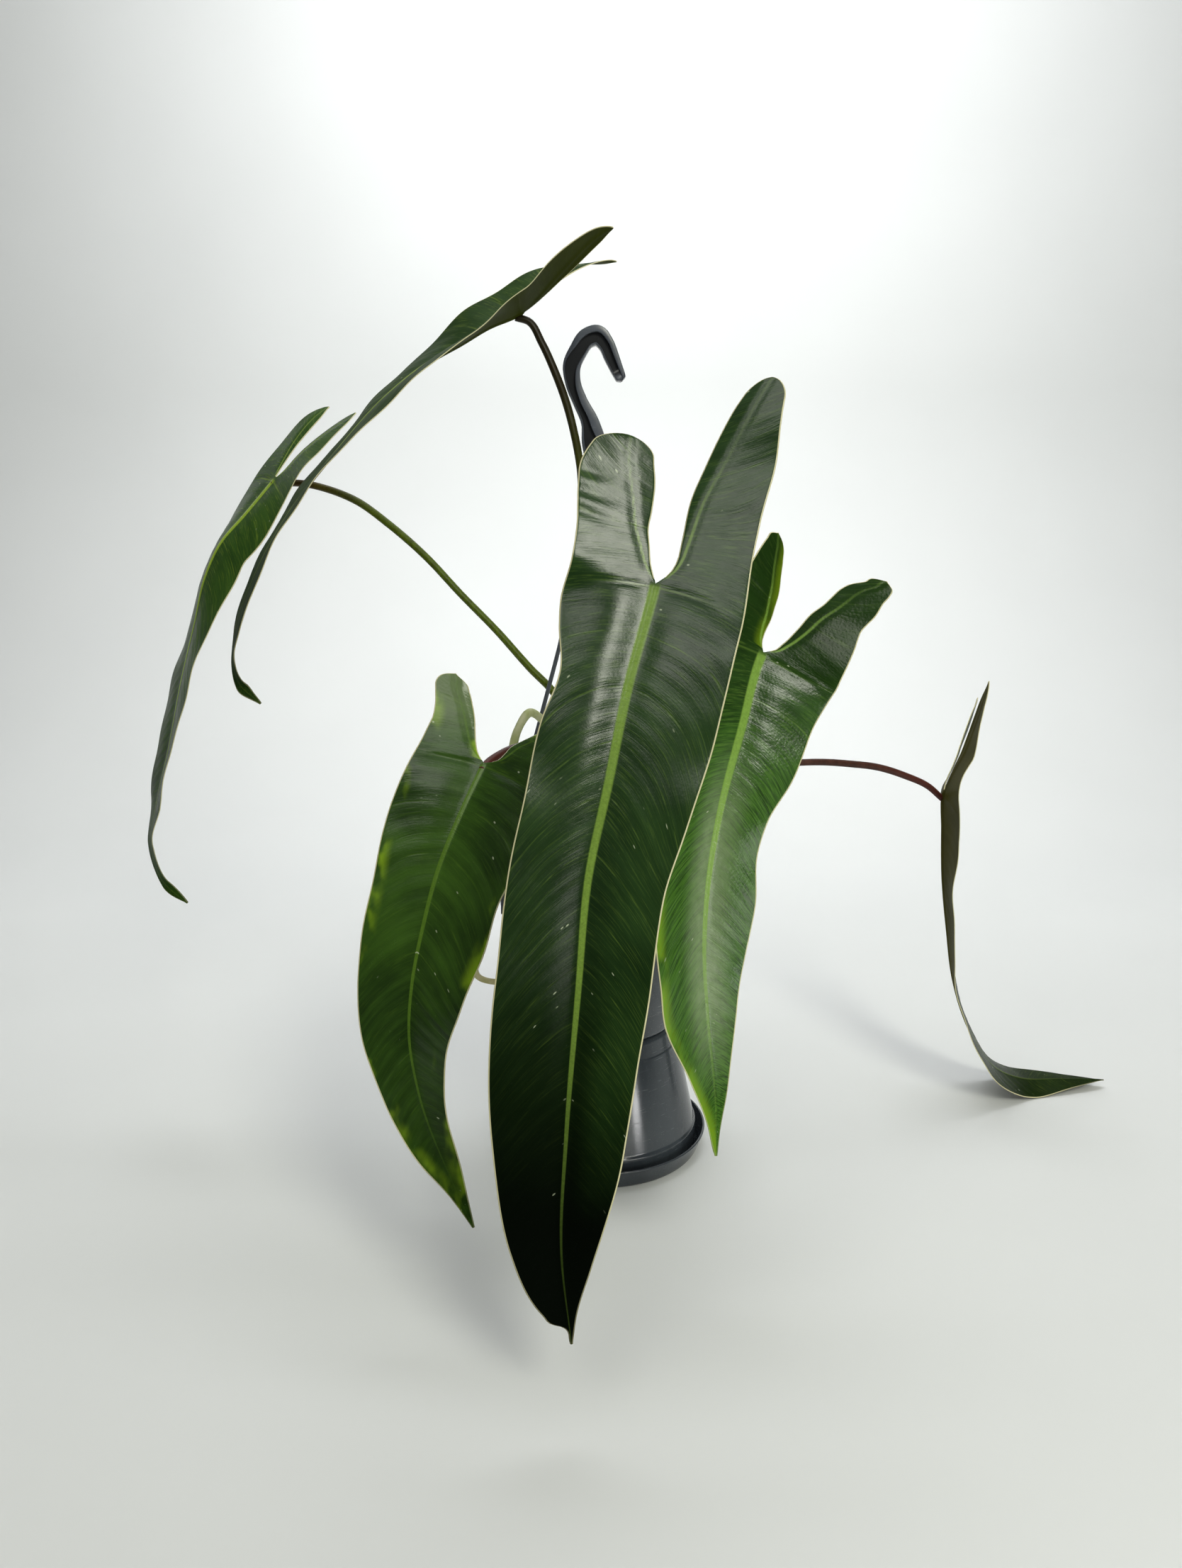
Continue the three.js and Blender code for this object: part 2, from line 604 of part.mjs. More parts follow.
function substrate(cutters) {
  const { base, wall, wallTop, lipHeight } = POT;
  const inside = wallTop - wall - SEAT;
  const lipFoot = HANGING_Z + POT.height - lipHeight - 1.6;
  let body = solid(turned([
    [0, HANGING_Z + wall + GAP], [base - wall - 2, HANGING_Z + wall + GAP],
    [base + 0.4 - wall - SEAT, HANGING_Z + wall + 1.8], [inside - 0.3, lipFoot],
    [inside - 0.2, SOIL_TOP - 2], [inside - 6, SOIL_TOP], [18, SOIL_TOP + 2], [0, SOIL_TOP + 3],
  ], 30));
  const random = seeded(41);
  for (let i = 0; i < BARK_CHUNKS; i += 1) {
    const turn = i * 2.39996;
    const reach = 8 + 37 * Math.sqrt((i + 0.5) / BARK_CHUNKS);
    const size = 4.2 + 3 * random();
    const chunk = new THREE.IcosahedronGeometry(size, 0).scale(1, 0.6 + 0.4 * random(), 0.55 + 0.3 * random())
      .rotateX(random() * 3).rotateZ(random() * 6)
      .translate(reach * Math.cos(turn), reach * Math.sin(turn), SOIL_TOP + 1.6 + 1.2 * random());
    body = body.add(solid(chunk));
  }
  const proud = new THREE.IcosahedronGeometry(6, 0).scale(0.9, 0.8, 1.3).rotateZ(0.6)
    .translate(-44, -10, RIM_Z - 5);
  body = body.add(solid(proud));
  for (const cutter of cutters) {
    body = body.subtract(cutter);
  }
  return surface(body);
}

// Assembly
const plant = new THREE.Group();

function place(name, geometry, material) {
  const mesh = new THREE.Mesh(geometry, material);
  mesh.name = name;
  plant.add(mesh);
  return mesh;
}

place('saucer', saucer(), matt(PLASTIC, 0.3));
const standPot = place('stand_pot', pot(STAND_SHOULDER), matt(PLASTIC, 0.25));
standPot.rotation.x = Math.PI;
standPot.position.z = STAND_Z + POT.height;
place('hanging_pot', pot(HANGING_SHOULDER), matt(PLASTIC, 0.25)).position.z = HANGING_Z;
place('hanger', hanger(), matt(PLASTIC, 0.35));

const stemRoom = solid(stem(GAP));
place('substrate', substrate([stemRoom]), matt(0x4a3320, 0.95));
place('stem', closed(stem()), matt(0x4e5a2c, 0.6));
place('aerial_root', surface(solid(stalk(ROOT_PATH, rootGirth(), 34, 7)).subtract(stemRoom)), matt(0xa9b07a, 0.7));

const PETIOLE_COLOURS = {
  front: 0x4f4a26, left: 0x6b3a30, right: 0x55522a, top: 0x3d2f1e, farLeft: 0x566026, farRight: 0x4a2f26,
};
const BLADE_COLOURS = {
  front: LEAF_DARK, left: LEAF_MID, right: LEAF_MID, top: LEAF_DARK, farLeft: LEAF_DARK, farRight: LEAF_MID,
};
const PLAIN_NAMES = {
  front: 'front', left: 'left', right: 'right', top: 'top', farLeft: 'far_left', farRight: 'far_right',
};
for (const name of Object.keys(LEAVES)) {
  place(`petiole_${PLAIN_NAMES[name]}`, petiole(name, stemRoom), matt(PETIOLE_COLOURS[name], 0.55));
  place(`blade_${PLAIN_NAMES[name]}`, blade(LEAVES[name]), matt(BLADE_COLOURS[name], 0.45));
}

export default plant;
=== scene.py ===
# %% [markdown]
# A potted philodendron spiritus-sancti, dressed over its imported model. Six long, arrow-shaped leaves
# grow on a short stem in a small nursery pot with a clip-on hook hanger. That pot stands on a second
# one, upside down, in a saucer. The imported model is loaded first, and its box is kept, because every
# finer piece that follows has to stay where the solid it stands for is.

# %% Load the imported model
import math

import bmesh
import bpy
import numpy as np
from mathutils import Matrix, Vector


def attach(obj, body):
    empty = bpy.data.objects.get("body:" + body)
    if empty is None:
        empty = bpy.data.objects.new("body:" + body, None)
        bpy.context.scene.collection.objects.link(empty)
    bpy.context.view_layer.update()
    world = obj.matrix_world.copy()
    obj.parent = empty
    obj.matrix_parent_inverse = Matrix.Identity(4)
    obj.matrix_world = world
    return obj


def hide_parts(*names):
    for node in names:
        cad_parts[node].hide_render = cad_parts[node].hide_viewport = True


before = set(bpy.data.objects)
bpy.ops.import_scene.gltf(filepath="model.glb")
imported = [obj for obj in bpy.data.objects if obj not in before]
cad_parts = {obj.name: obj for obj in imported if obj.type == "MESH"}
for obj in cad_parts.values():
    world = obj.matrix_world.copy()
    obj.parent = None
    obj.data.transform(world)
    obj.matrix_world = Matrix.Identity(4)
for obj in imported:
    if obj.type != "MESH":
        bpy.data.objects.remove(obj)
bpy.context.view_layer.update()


def placed(name, data):
    """A new object in the scene."""
    thing = bpy.data.objects.new(name, data)
    bpy.context.collection.objects.link(thing)
    return thing


# %% [markdown]
# The camera stands where the picture of the plant was taken from: about 65 cm in front of the pots
# and 36 cm up, looking a little down through a wide lens. A wide lens this close makes the hanging
# front leaf look long and the pots behind it small, so its place matters more than any later finish.

# %% Camera
lens_mm, pitch = 25.99, 11.7
eye = bpy.data.cameras.new("eye")
eye.sensor_fit, eye.sensor_height, eye.sensor_width, eye.lens = "VERTICAL", 36, 36, lens_mm
eye.clip_start, eye.clip_end = 0.01, 20
camera = placed("camera", eye)
camera.location = (-0.007, -0.646, 0.358)
camera.rotation_euler = (math.radians(90 - pitch), 0, 0)
bpy.context.scene.camera = camera
print("camera", tuple(round(c, 3) for c in camera.location), "lens", lens_mm)

# %% [markdown]
# Finishes are written as sums. A socket of a material's node tree is wrapped in a small class, so that
# 1 - mask or height * 0.3 adds its Math node by itself, and a sum with a vector adds a Vector Math node.
# Every other node comes from one method, which sets the node's own settings before its sockets.

# %% Shader sums
class Wire:
    """An output socket of a finish, which can be added, scaled and compared."""

    def __init__(self, finish, socket):
        self.finish, self.socket = finish, socket
        self.flat = socket.type == "VALUE"

    def sum(self, operation, first, second=None):
        parts = [first] if second is None else [first, second]
        flat = all(not isinstance(p, (Wire, tuple)) or (isinstance(p, Wire) and p.flat) for p in parts)
        if not flat:
            parts = [(p,) * 3 if isinstance(p, (int, float)) else p for p in parts]
        kind = "ShaderNodeMath" if flat else "ShaderNodeVectorMath"
        return self.finish.add(kind, {"operation": operation}, dict(enumerate(parts)))

    def __add__(self, other): return self.sum("ADD", self, other)
    def __sub__(self, other): return self.sum("SUBTRACT", self, other)
    def __rsub__(self, other): return self.sum("SUBTRACT", other, self)
    def __mul__(self, other): return self.sum("MULTIPLY", self, other)
    def __truediv__(self, other): return self.sum("DIVIDE", self, other)
    def part(self): return self.sum("FRACT", self)
    def size(self): return self.sum("ABSOLUTE", self)
    def most(self, other): return self.sum("MAXIMUM", self, other)

    def between(self, low, high):
        """0 up to low, 1 from high, and a soft step between the two."""
        turned = low > high
        ends = {"From Min": min(low, high), "From Max": max(low, high)}
        ends.update({"To Min": 1.0 if turned else 0.0, "To Max": 0.0 if turned else 1.0})
        return self.finish.add("ShaderNodeMapRange", {"interpolation_type": "SMOOTHSTEP"},
                               {"Value": self, **ends})


# %% Finishes
def tone(red, green, blue):
    """A colour from 0 to 255 as the eye sees it, in the linear numbers that a shader takes."""
    seen = [c / 255 for c in (red, green, blue)]
    return tuple(c / 12.92 if c <= 10 / 255 else ((c + 0.055) / 1.055) ** 2.4 for c in seen) + (1.0,)


def scaled(colour, share):
    """The colour made darker or lighter by a share."""
    return tuple(min(1.0, c * share) for c in colour[:3]) + (1.0,)


class Finish:
    """One material. Numbers that are the same all over it go straight on the surface's sockets."""

    def __init__(self, name, **even):
        self.material = bpy.data.materials.new(name)
        self.material.use_nodes = True
        self.tree = self.material.node_tree
        self.surface = next(n for n in self.tree.nodes if n.type == "BSDF_PRINCIPLED")
        for socket, value in even.items():
            self.surface.inputs[socket.replace("_", " ")].default_value = value

    def add(self, kind, settings=None, inputs=None, output=0):
        node = self.tree.nodes.new(kind)
        for key, value in (settings or {}).items():
            setattr(node, key, value)
        for key, value in (inputs or {}).items():
            self.put(node.inputs[key], value)
        return Wire(self, node.outputs[output])

    def put(self, socket, value):
        if isinstance(value, Wire):
            self.tree.links.new(value.socket, socket)
        else:
            socket.default_value = value

    def varies(self, **sockets):
        for name, value in sockets.items():
            self.put(self.surface.inputs[name.replace("_", " ")], value)

    def blend(self, share, first, second):
        """The first colour where share is 0 and the second where it is 1."""
        return self.add("ShaderNodeMix", {"data_type": "RGBA"}, {0: share, 6: first, 7: second}, 2)

    def grain(self, size_mm, detail=3.0, rough=0.5, stretch=(1, 1, 1), seed=0.0):
        """Soft noise around 0.5 whose blots are about size_mm across."""
        place = self.place() * stretch + (seed, seed * 1.7, -seed)
        return self.noise(place, 1000 / size_mm, detail, rough)

    def noise(self, place, scale, detail, rough):
        return self.add("ShaderNodeTexNoise", {"noise_dimensions": "3D"}, {
            "Vector": place, "Scale": scale, "Detail": detail, "Roughness": rough})

    def point(self, x, y, z):
        return self.add("ShaderNodeCombineXYZ", None, {0: x, 1: y, 2: z})

    def dulled(self, share, **even):
        """Where share is 1, a second surface of the same colour and relief, made dull, takes over."""
        dull = self.tree.nodes.new("ShaderNodeBsdfPrincipled")
        both = self.tree.nodes.new("ShaderNodeMixShader")
        for name in ("Base Color", "Normal"):
            self.tree.links.new(self.surface.inputs[name].links[0].from_socket, dull.inputs[name])
        for socket, value in even.items():
            dull.inputs[socket.replace("_", " ")].default_value = value
        self.put(both.inputs[0], share)
        self.tree.links.new(self.surface.outputs[0], both.inputs[1])
        self.tree.links.new(dull.outputs[0], both.inputs[2])
        end = next(n for n in self.tree.nodes if n.type == "OUTPUT_MATERIAL")
        self.tree.links.new(both.outputs[0], end.inputs["Surface"])

    def place(self):
        return self.add("ShaderNodeTexCoord", None, None, "Object")

    def chart(self, name):
        """Three numbers that the mesh carries from point to point."""
        settings = {"attribute_type": "GEOMETRY", "attribute_name": name}
        return self.add("ShaderNodeAttribute", settings, None, "Vector")

    def axes(self, wire):
        first = self.add("ShaderNodeSeparateXYZ", None, {0: wire}, 0)
        node = first.socket.node
        return first, Wire(self, node.outputs[1]), Wire(self, node.outputs[2])

    def relief(self, height, depth_mm, strength=1.0):
        sockets = {"Height": height, "Distance": depth_mm / 1000, "Strength": strength}
        return self.add("ShaderNodeBump", None, sockets)

    def cells(self, kind, place, scale):
        return self.add("ShaderNodeTexVoronoi", {"feature": kind}, {"Vector": place, "Scale": scale})


print("finishes are ready")

# %% [markdown]
# The floor and the backdrop are one pale sweep of board: flat under the plant, then bent up behind it in
# a wide curve, so that no line shows where the floor ends. It is a stage and not part of the plant. In
# front, below the picture's edge, it is painted grey, as painted shade of an unlit floor there: the
# hanging tips mirror that stretch and stay dark.

# %% Sweep of board
def mesh_piece(name, points, faces):
    mesh = bpy.data.meshes.new(name)
    mesh.from_pydata([tuple(p) for p in points], [], [tuple(int(i) for i in f) for f in faces])
    mesh.update()
    mesh.shade_smooth()
    return placed(name, mesh)


bend, bend_radius, bend_start = [math.radians(90 * i / 24) for i in range(1, 25)], 0.6, 0.55
line = [(-3.0, 0.0), (bend_start, 0.0)]
line += [(bend_start + bend_radius * math.sin(a), bend_radius - bend_radius * math.cos(a)) for a in bend]
line += [(bend_start + bend_radius, 3.2)]
board_points = [(x, y, z) for x in (-3.2, 3.2) for y, z in line]
bends = len(line)
board_faces = [(i, i + bends, i + bends + 1, i + 1) for i in range(bends - 1)]
board = mesh_piece("board", board_points, board_faces)
card = Finish("pale_board", Roughness=0.6, Specular_IOR_Level=0.2)
_, forward, _ = card.axes(card.place())
sheet = card.blend(card.grain(260, 2.0), tone(213, 215, 214), tone(221, 223, 222))
card.varies(
    # painted shade: the front stretch below the picture's edge is painted grey as an unlit floor
    Base_Color=card.blend(forward.between(-0.36, -0.72), sheet, tone(88, 90, 88)),
    Normal=card.relief(card.grain(1.2, 2.0), 0.02, 0.3),
)
board.data.materials.append(card.material)
print("board", bends, "bends")

# %% [markdown]
# Soft studio light, and each panel has its own work. Two high in front, right and left, give the two
# halves of a waxy leaf their grey sheen, and leave the hanging tips dark, which look down past them. Two
# low ones show in the glossy pots and on the leaf at the right. One overhead lights the floor, one lights
# the sweep behind, and the sky around is dim.

# %% Lights
def panel(name, at, aim, size, power, colour=(1, 1, 1), spread=180):
    light = bpy.data.lights.new(name, "AREA")
    light.shape, light.energy, light.color = "RECTANGLE", power, colour
    light.size, light.size_y = size
    light.spread = math.radians(spread)
    lamp = placed(name, light)
    lamp.location = at
    lamp.rotation_euler = (Vector(aim) - Vector(at)).to_track_quat("-Z", "Y").to_euler()


warm, cool = (1.0, 1.0, 0.92), (0.97, 0.98, 1.0)
panel("front_panel", (0.5, -1.3, 1.3), (0, -0.1, 0.25), (0.42, 0.6), 13, (1.0, 1.0, 0.88))
panel("left_panel", (-0.57, -1.15, 1.62), (0, -0.2, 0.3), (0.8, 0.5), 5.5, warm)
panel("low_panel", (0.42, -0.77, 0.17), (0.03, -0.13, 0.17), (0.32, 0.3), 1.3, warm)
panel("pot_panel", (0.42, -0.47, 0.03), (0.02, -0.05, 0.05), (0.09, 0.05), 0.25)
panel("top_panel", (0.05, 0.25, 1.75), (0.1, 0.15, 0), (2.2, 1.6), 9, cool)
panel("back_panel", (0.05, 0.3, 1.7), (0.1, 1.1, 0.5), (0.9, 0.4), 10.5, cool, 120)
sky = bpy.data.worlds.new("sky")
bpy.context.scene.world = sky
sky.use_nodes = True
sky.node_tree.nodes["Background"].inputs[0].default_value = (0.96, 0.98, 1.0, 1)
sky.node_tree.nodes["Background"].inputs[1].default_value = 0.1
bpy.context.scene.view_settings.view_transform = "Standard"

# %% [markdown]
# Leaves, stalks and roots are all drawn from a few measured points, joined by smooth curves. The same
# curves are used here as in the solids: each passes through its points without swinging past them.

# %% Smooth curves
def through(pairs):
    knots, values = np.array(pairs, float).T
    rise, gaps = np.diff(values) / np.diff(knots), np.diff(knots)
    inner = (rise[:-1] * gaps[1:] + rise[1:] * gaps[:-1]) / (gaps[:-1] + gaps[1:])
    slopes = np.concatenate([rise[:1], inner, rise[-1:]])

    def at(place):
        t = np.clip(place, knots[0], knots[-1])
        i = np.clip(np.searchsorted(knots, t) - 1, 0, len(knots) - 2)
        span = knots[i + 1] - knots[i]
        u = (t - knots[i]) / span
        return ((1 + 2 * u) * (1 - u) ** 2 * values[i] + u * (1 - u) ** 2 * span * slopes[i]
                + u * u * (3 - 2 * u) * values[i + 1] + u * u * (u - 1) * span * slopes[i + 1])
    return at


class Path:
    """A smooth line through points, followed by its real length in millimetres."""

    def __init__(self, points):
        points = np.array(points, float)
        self.knots = np.concatenate([[0], np.cumsum(np.linalg.norm(np.diff(points, axis=0), axis=1))])
        curves = [through(list(zip(self.knots, column))) for column in points.T]
        self.fine = np.linspace(0, self.knots[-1], 3001)
        self.trace = np.stack([curve(self.fine) for curve in curves], axis=1)
        self.arc = np.concatenate([[0], np.cumsum(np.linalg.norm(np.diff(self.trace, axis=0), axis=1))])
        self.length = self.arc[-1]

    def point(self, s):
        return np.stack([np.interp(s, self.arc, column) for column in self.trace.T], axis=-1)

    def tangent(self, s):
        ends = [np.clip(np.asarray(s) + d, 0, self.length) for d in (-0.6, 0.6)]
        step = self.point(ends[1]) - self.point(ends[0])
        return step / np.linalg.norm(step, axis=-1, keepdims=True)


print("a straight test curve gives", float(through([[0, 0], [1, 1], [2, 2]])(1.5)))

# %% [markdown]
# A blade is a thin sheet on either side of its midrib. The midrib's line hangs in space; at each place
# on it one direction is the way the upper side looks and one goes across. Turn tips the leaf over to one
# side, and fold lifts both halves like an open book. The outline is given as the distance of the outer
# margin, and of the lobe's inner margin, from the midrib. These numbers are the solids' own, apart from
# the margins of the left and right leaves, which are drawn more finely here.

# %% Outlines of a hanging leaf
def natural_half(length, width, lobe, tip=1.0):
    """One half at its natural shape, for leaves that are seen too obliquely to measure."""
    shoulder = [[-1, 0.7], [-0.78, 0.9], [-0.4, 1]]
    sides = [[0, 1], [0.2, 0.92], [0.4, 0.84], [0.6, 0.74], [0.77, 0.5 + 0.05 * tip], [0.9, 0.32 * tip],
             [0.97, 0.13 * tip]]
    inner = [[-1, 0.5], [-0.64, 0.32], [-0.32, 0.18], [-0.1, 0.08], [0, 0]]
    outer = [[v * lobe, x * width] for v, x in shoulder] + [[v * length, x * width] for v, x in sides]
    inner = [[v * lobe, x * width] for v, x in inner]
    return {"outer": outer + [[length, 0.6]], "inner": inner, "round": 0.16 * lobe}


leaves = {
    "front": {
        "midrib": [[46, -134, 446], [28, -152, 379], [20, -166, 344], [8, -184, 302], [0, -198, 265],
                   [-8, -209, 229], [-12, -219, 186], [-17, -228, 126], [-19, -234, 77], [-15, -238, 39]],
        "sinus": 2, "faces": [0, -0.8, 0.6], "fold": [[0, 12], [300, 12]],
        "left": {
            "outer": [[-60, 36], [-53, 39.5], [-45, 42], [-33, 40.8], [-20, 38.3], [0, 36.8],
                      [17, 36.6], [29, 34], [45, 29], [68, 32], [110, 32], [150, 33], [180, 34],
                      [210, 33], [247, 28], [278, 21], [304, 10.5], [309, 7], [311, 3.4], [319, 0.6]],
            "inner": [[-60, 13], [-54, 12], [-44, 9], [-31, 7.7], [-23, 7.6], [-16, 5.8], [-8, 3.7],
                      [0, 0]],
            "round": 6},
        "right": {
            "outer": [[-97, 36], [-86, 36.8], [-77, 37.8], [-61, 39.6], [-30, 38.8], [-12, 38.6],
                      [17, 40.5], [62, 40], [97, 36], [128, 32], [160, 30], [194, 27.5], [227, 25],
                      [253, 21.5], [287, 12], [308, 3.5], [319, 0.6]],
            "inner": [[-97, 22], [-82, 15.7], [-69, 12.3], [-54, 9.4], [-41, 7.2], [-19, 7], [-10, 6.5],
                      [-5, 4.5], [0, 0]],
            "round": 8},
    },
    "left": {
        "midrib": [[-27, -100, 320], [-50, -116, 277], [-57, -125, 260], [-66, -135, 241],
                   [-77, -147, 214], [-83, -156, 191], [-88, -164, 164], [-89, -169, 144],
                   [-85, -173, 118], [-70, -177, 75], [-61, -178, 53]],
        "sinus": 2, "faces": [-0.2, -0.8, 0.55], "fold": [[0, 12], [200, 12]],
        "left": {
            "outer": [[-34.2, 31.8], [-33.2, 34.2], [-31, 37], [-28, 38], [-24.8, 36.4], [-19.2, 33.4],
                      [-15, 32.2], [-7.8, 32.5], [17, 33.2], [36, 32.6], [44, 31.5], [62, 28.5],
                      [93, 27], [111, 25], [129, 22], [144, 18.5], [165, 15], [185, 11], [208, 4],
                      [226, 0.6]],
            "inner": [[-34.2, 30], [-32.5, 24.5], [-29.5, 20.9], [-24.2, 16.2], [-19.5, 12.8],
                      [-14, 10.1], [-7.8, 7.2], [-4, 4.8], [-1.2, 1.8], [0, 0]],
            "round": 3},
        "right": {
            "outer": [[-44, 44], [-20, 49], [0, 46], [20, 43], [44, 40.5], [62, 37], [88, 34],
                      [116, 27], [141, 17.5], [161, 12], [185, 8.5], [212, 3.5], [226, 0.6]],
            "inner": [[-44, 40], [-22, 21.8], [-15, 14.2], [-11, 9.9], [-6.2, 7.9], [-2.2, 5], [0, 0]],
            "round": 12},
    },
    "right": {
        "midrib": [[138, -74, 404], [104, -90, 355], [88, -98, 330], [75, -105, 310], [64, -117, 275],
                   [54, -128, 240], [48, -136, 207], [46, -141, 178], [48, -145, 141], [52, -148, 102],
                   [53, -150, 73]],
        "sinus": 3, "faces": [0.35, -0.75, 0.5], "fold": [[0, 15], [200, 15]],
        "left": {
            "outer": [[-51, 26], [-49.2, 28.6], [-45, 29.6], [-39.5, 30.1], [-32, 30], [0, 29],
                      [60, 31], [100, 31], [131, 30], [156, 29], [174, 27], [203, 16], [232, 4.5],
                      [246, 0.6]],
            "inner": [[-51, 25], [-50, 22.5], [-47.8, 19.4], [-42.5, 15.6], [-36.5, 12.4], [-27.5, 7.9],
                      [-22.2, 6.5], [-15.2, 4.5], [-8.8, 3.8], [-3.8, 2.5], [0, 0]],
            "round": 3},
        "right": {
            "outer": [[-61, 34], [-60, 35.6], [-58, 37.8], [-55.2, 38.2], [-50, 37.4], [-42, 37.2],
                      [-36.8, 35.9], [-32.8, 35.1], [-29.5, 35.5], [-22.8, 37], [-6.5, 39], [5, 39.1],
                      [17.5, 36.9], [30, 33.6], [57, 30], [79, 23.5], [94, 22], [123, 24], [146, 21],
                      [176, 15], [210, 8], [232, 3], [246, 0.6]],
            "inner": [[-61, 32.5], [-59.8, 28.2], [-55.5, 24], [-51.5, 19.2], [-46.8, 16.1],
                      [-41.5, 14.5], [-35.8, 13], [-28.8, 10.1], [-18.8, 8.4], [-9, 6.4], [-3, 3.8],
                      [0, 0]],
            "round": 3},
    },
    "top": {
        "midrib": [[16, -8, 520], [-1, -8, 511], [-22, -9, 496], [-44, -11, 480], [-61, -16, 472],
                   [-75, -21, 463], [-94, -29, 451], [-112, -35, 436], [-139, -43, 406],
                   [-154, -46, 388], [-169, -48, 367], [-183, -50, 341], [-193, -50, 316],
                   [-195, -50, 300], [-192, -50, 288], [-182, -50, 278]],
        "sinus": 3, "faces": [-0.7, -0.33, 0.7],
        "turn": [[-60, -28], [-30, -9], [0, 2], [60, 2], [100, -1], [140, -3], [220, 1], [260, 4]],
        "fold": [[-60, 1], [-30, 22], [0, 24], [30, 13], [60, 3], [100, -1], [140, 2], [220, -1],
                 [260, 1]],
        "left": natural_half(275, 33, 60, 0.6), "right": natural_half(275, 33, 61, 0.6),
    },
    "far_left": {
        "midrib": [[-143, 38, 444], [-156, 37, 435], [-175, 36, 418], [-191, 34, 398], [-208, 30, 378],
                   [-223, 27, 361], [-232, 24, 342], [-239, 22, 316], [-248, 19, 283], [-258, 17, 242],
                   [-267, 16, 210], [-272, 15, 184], [-266, 15, 160], [-253, 15, 147]],
        "sinus": 3, "faces": [-0.72, -0.55, 0.6],
        "turn": [[-60, -3], [0, 1], [30, 3], [60, 1], [100, -6], [180, -6], [220, -8], [270, -11]],
        "fold": [[-60, -5], [-30, 0], [0, -1], [30, -11], [60, -18], [100, -6], [140, 2], [180, 7],
                 [220, 3], [270, -2]],
        "left": natural_half(278, 33, 51, 0.6), "right": natural_half(278, 33, 63, 0.6),
    },
    "far_right": {
        "midrib": [[241, 50, 305], [234, 50, 270], [224, 50, 235], [215, 50, 208], [216, 50, 185],
                   [218, 50, 154], [223, 50, 118], [229, 50, 84], [237, 51, 60], [249, 54, 37],
                   [264, 58, 18], [284, 63, 8], [313, 66, 6], [341, 66, 5.4]],
        "sinus": 3, "faces": [0.8, -0.17, 0.65],
        "turn": [[-60, 1], [-30, 4], [0, 5], [30, 3], [60, 0], [180, 0], [220, 8], [260, 15]],
        "fold": [[-60, 3], [0, 8], [30, 8], [60, 6], [100, 4], [140, 1], [180, -1], [220, -10],
                 [260, -11]],
        "left": natural_half(282, 33, 75), "right": natural_half(282, 33, 62),
    },
}
print("leaves", ", ".join(leaves))

# %% [markdown]
# The sheet of a leaf answers one question: where does the point lie that is v along the midrib from the
# sinus and x out from it? Near the midrib the fold is rounded into a shallow channel, because a real
# blade never creases to a line there.

# %% The sheet of a leaf
channel_mm = 2.2


class Sheet:
    def __init__(self, leaf):
        self.path = Path(leaf["midrib"])
        self.start = np.interp(self.path.knots[leaf["sinus"]], self.path.fine, self.path.arc)
        self.length = self.path.length - self.start
        self.faces = np.array(leaf["faces"], float)
        self.fold, self.turn = through(leaf["fold"]), through(leaf.get("turn", [[0, 0], [1, 0]]))

    def frame(self, v):
        whole = self.path.length
        s = np.clip(v + self.start, 0.002 * whole, 0.998 * whole)
        along = self.path.tangent(s)
        up = self.faces - (along @ self.faces)[..., None] * along
        up /= np.linalg.norm(up, axis=-1, keepdims=True)
        lean = np.radians(-self.turn(v))[..., None]
        up = up * np.cos(lean) + np.cross(along, up) * np.sin(lean)
        centre = self.path.point(s) + along * (v + self.start - s)[..., None]
        return centre, up, np.cross(up, along)

    def point(self, side, v, x, lift=0.0):
        """The place and the way up of the sheet there, raised by lift."""
        centre, up, across = self.frame(v)
        angle = np.radians(self.fold(v))[..., None]
        x = x[..., None]
        channel = np.sqrt(x * x + channel_mm ** 2)
        lean = angle * x / channel
        place = centre + across * side * x * np.cos(angle) + up * (channel - channel_mm) * np.sin(angle)
        normal = up * np.cos(lean) - across * side * np.sin(lean)
        return place + normal * np.asarray(lift)[..., None], normal


def margins(half):
    outer_at, inner_at, end = through(half["outer"]), through(half["inner"]), half["outer"][0][0]

    def at(v):
        outer, inner = outer_at(v), np.where(v < 0, inner_at(v), 0.0)
        keep = np.sqrt(1 - (1 - np.clip((v - end) / half["round"], 0.01, 1)) ** 2)
        middle = (inner + outer) / 2
        return middle + (inner - middle) * keep, middle + (outer - middle) * keep
    return at


sheets = {name: Sheet(leaf) for name, leaf in leaves.items()}
print("blade lengths in mm", {name: round(float(sheet.length)) for name, sheet in sheets.items()})

# %% [markdown]
# Each point of a blade carries a small chart for its finish: how far it is from the nearest rib, which
# side vein it lies on, how far it is from the margin, how far along the leaf, and whether it is on the
# underside. Side veins leave the midrib and bend towards the tip, and in the lobes they leave a basal
# vein that runs up each lobe from the sinus. A chart on the mesh follows every bend of the leaf.

# %% Chart of the veins
def soft_step(value, low, high):
    u = np.clip((value - low) / (high - low), 0, 1)
    return u * u * (3 - 2 * u)


def vein_chart(v, x, inner, outer, length, lobe):
    basal = inner + (outer - inner) * np.clip(0.02 + 0.44 * v / lobe, 0, 0.48)
    rib = np.where(v < 0, np.abs(x - basal), x)
    bend = 0.15 + 0.85 * soft_step(v, 0, 120) - 0.5 * soft_step(-v, 0, 60)
    side_vein = v - bend * (0.55 * x + 0.018 * x * x)
    edge = np.minimum(outer - x, np.where(v < 0, x - inner, 99.0))
    return rib, side_vein, np.minimum(edge, length - v + 0.5), basal


# %% [markdown]
# A blade is half a millimetre thick, swells to a round keel under the midrib, and thins to a rounded
# margin. Its surface is never flat: it quilts a little between the side veins, the margins wave, and
# where a leaf unrolled under strain it keeps small cross ripples. All of that is worked into the points.

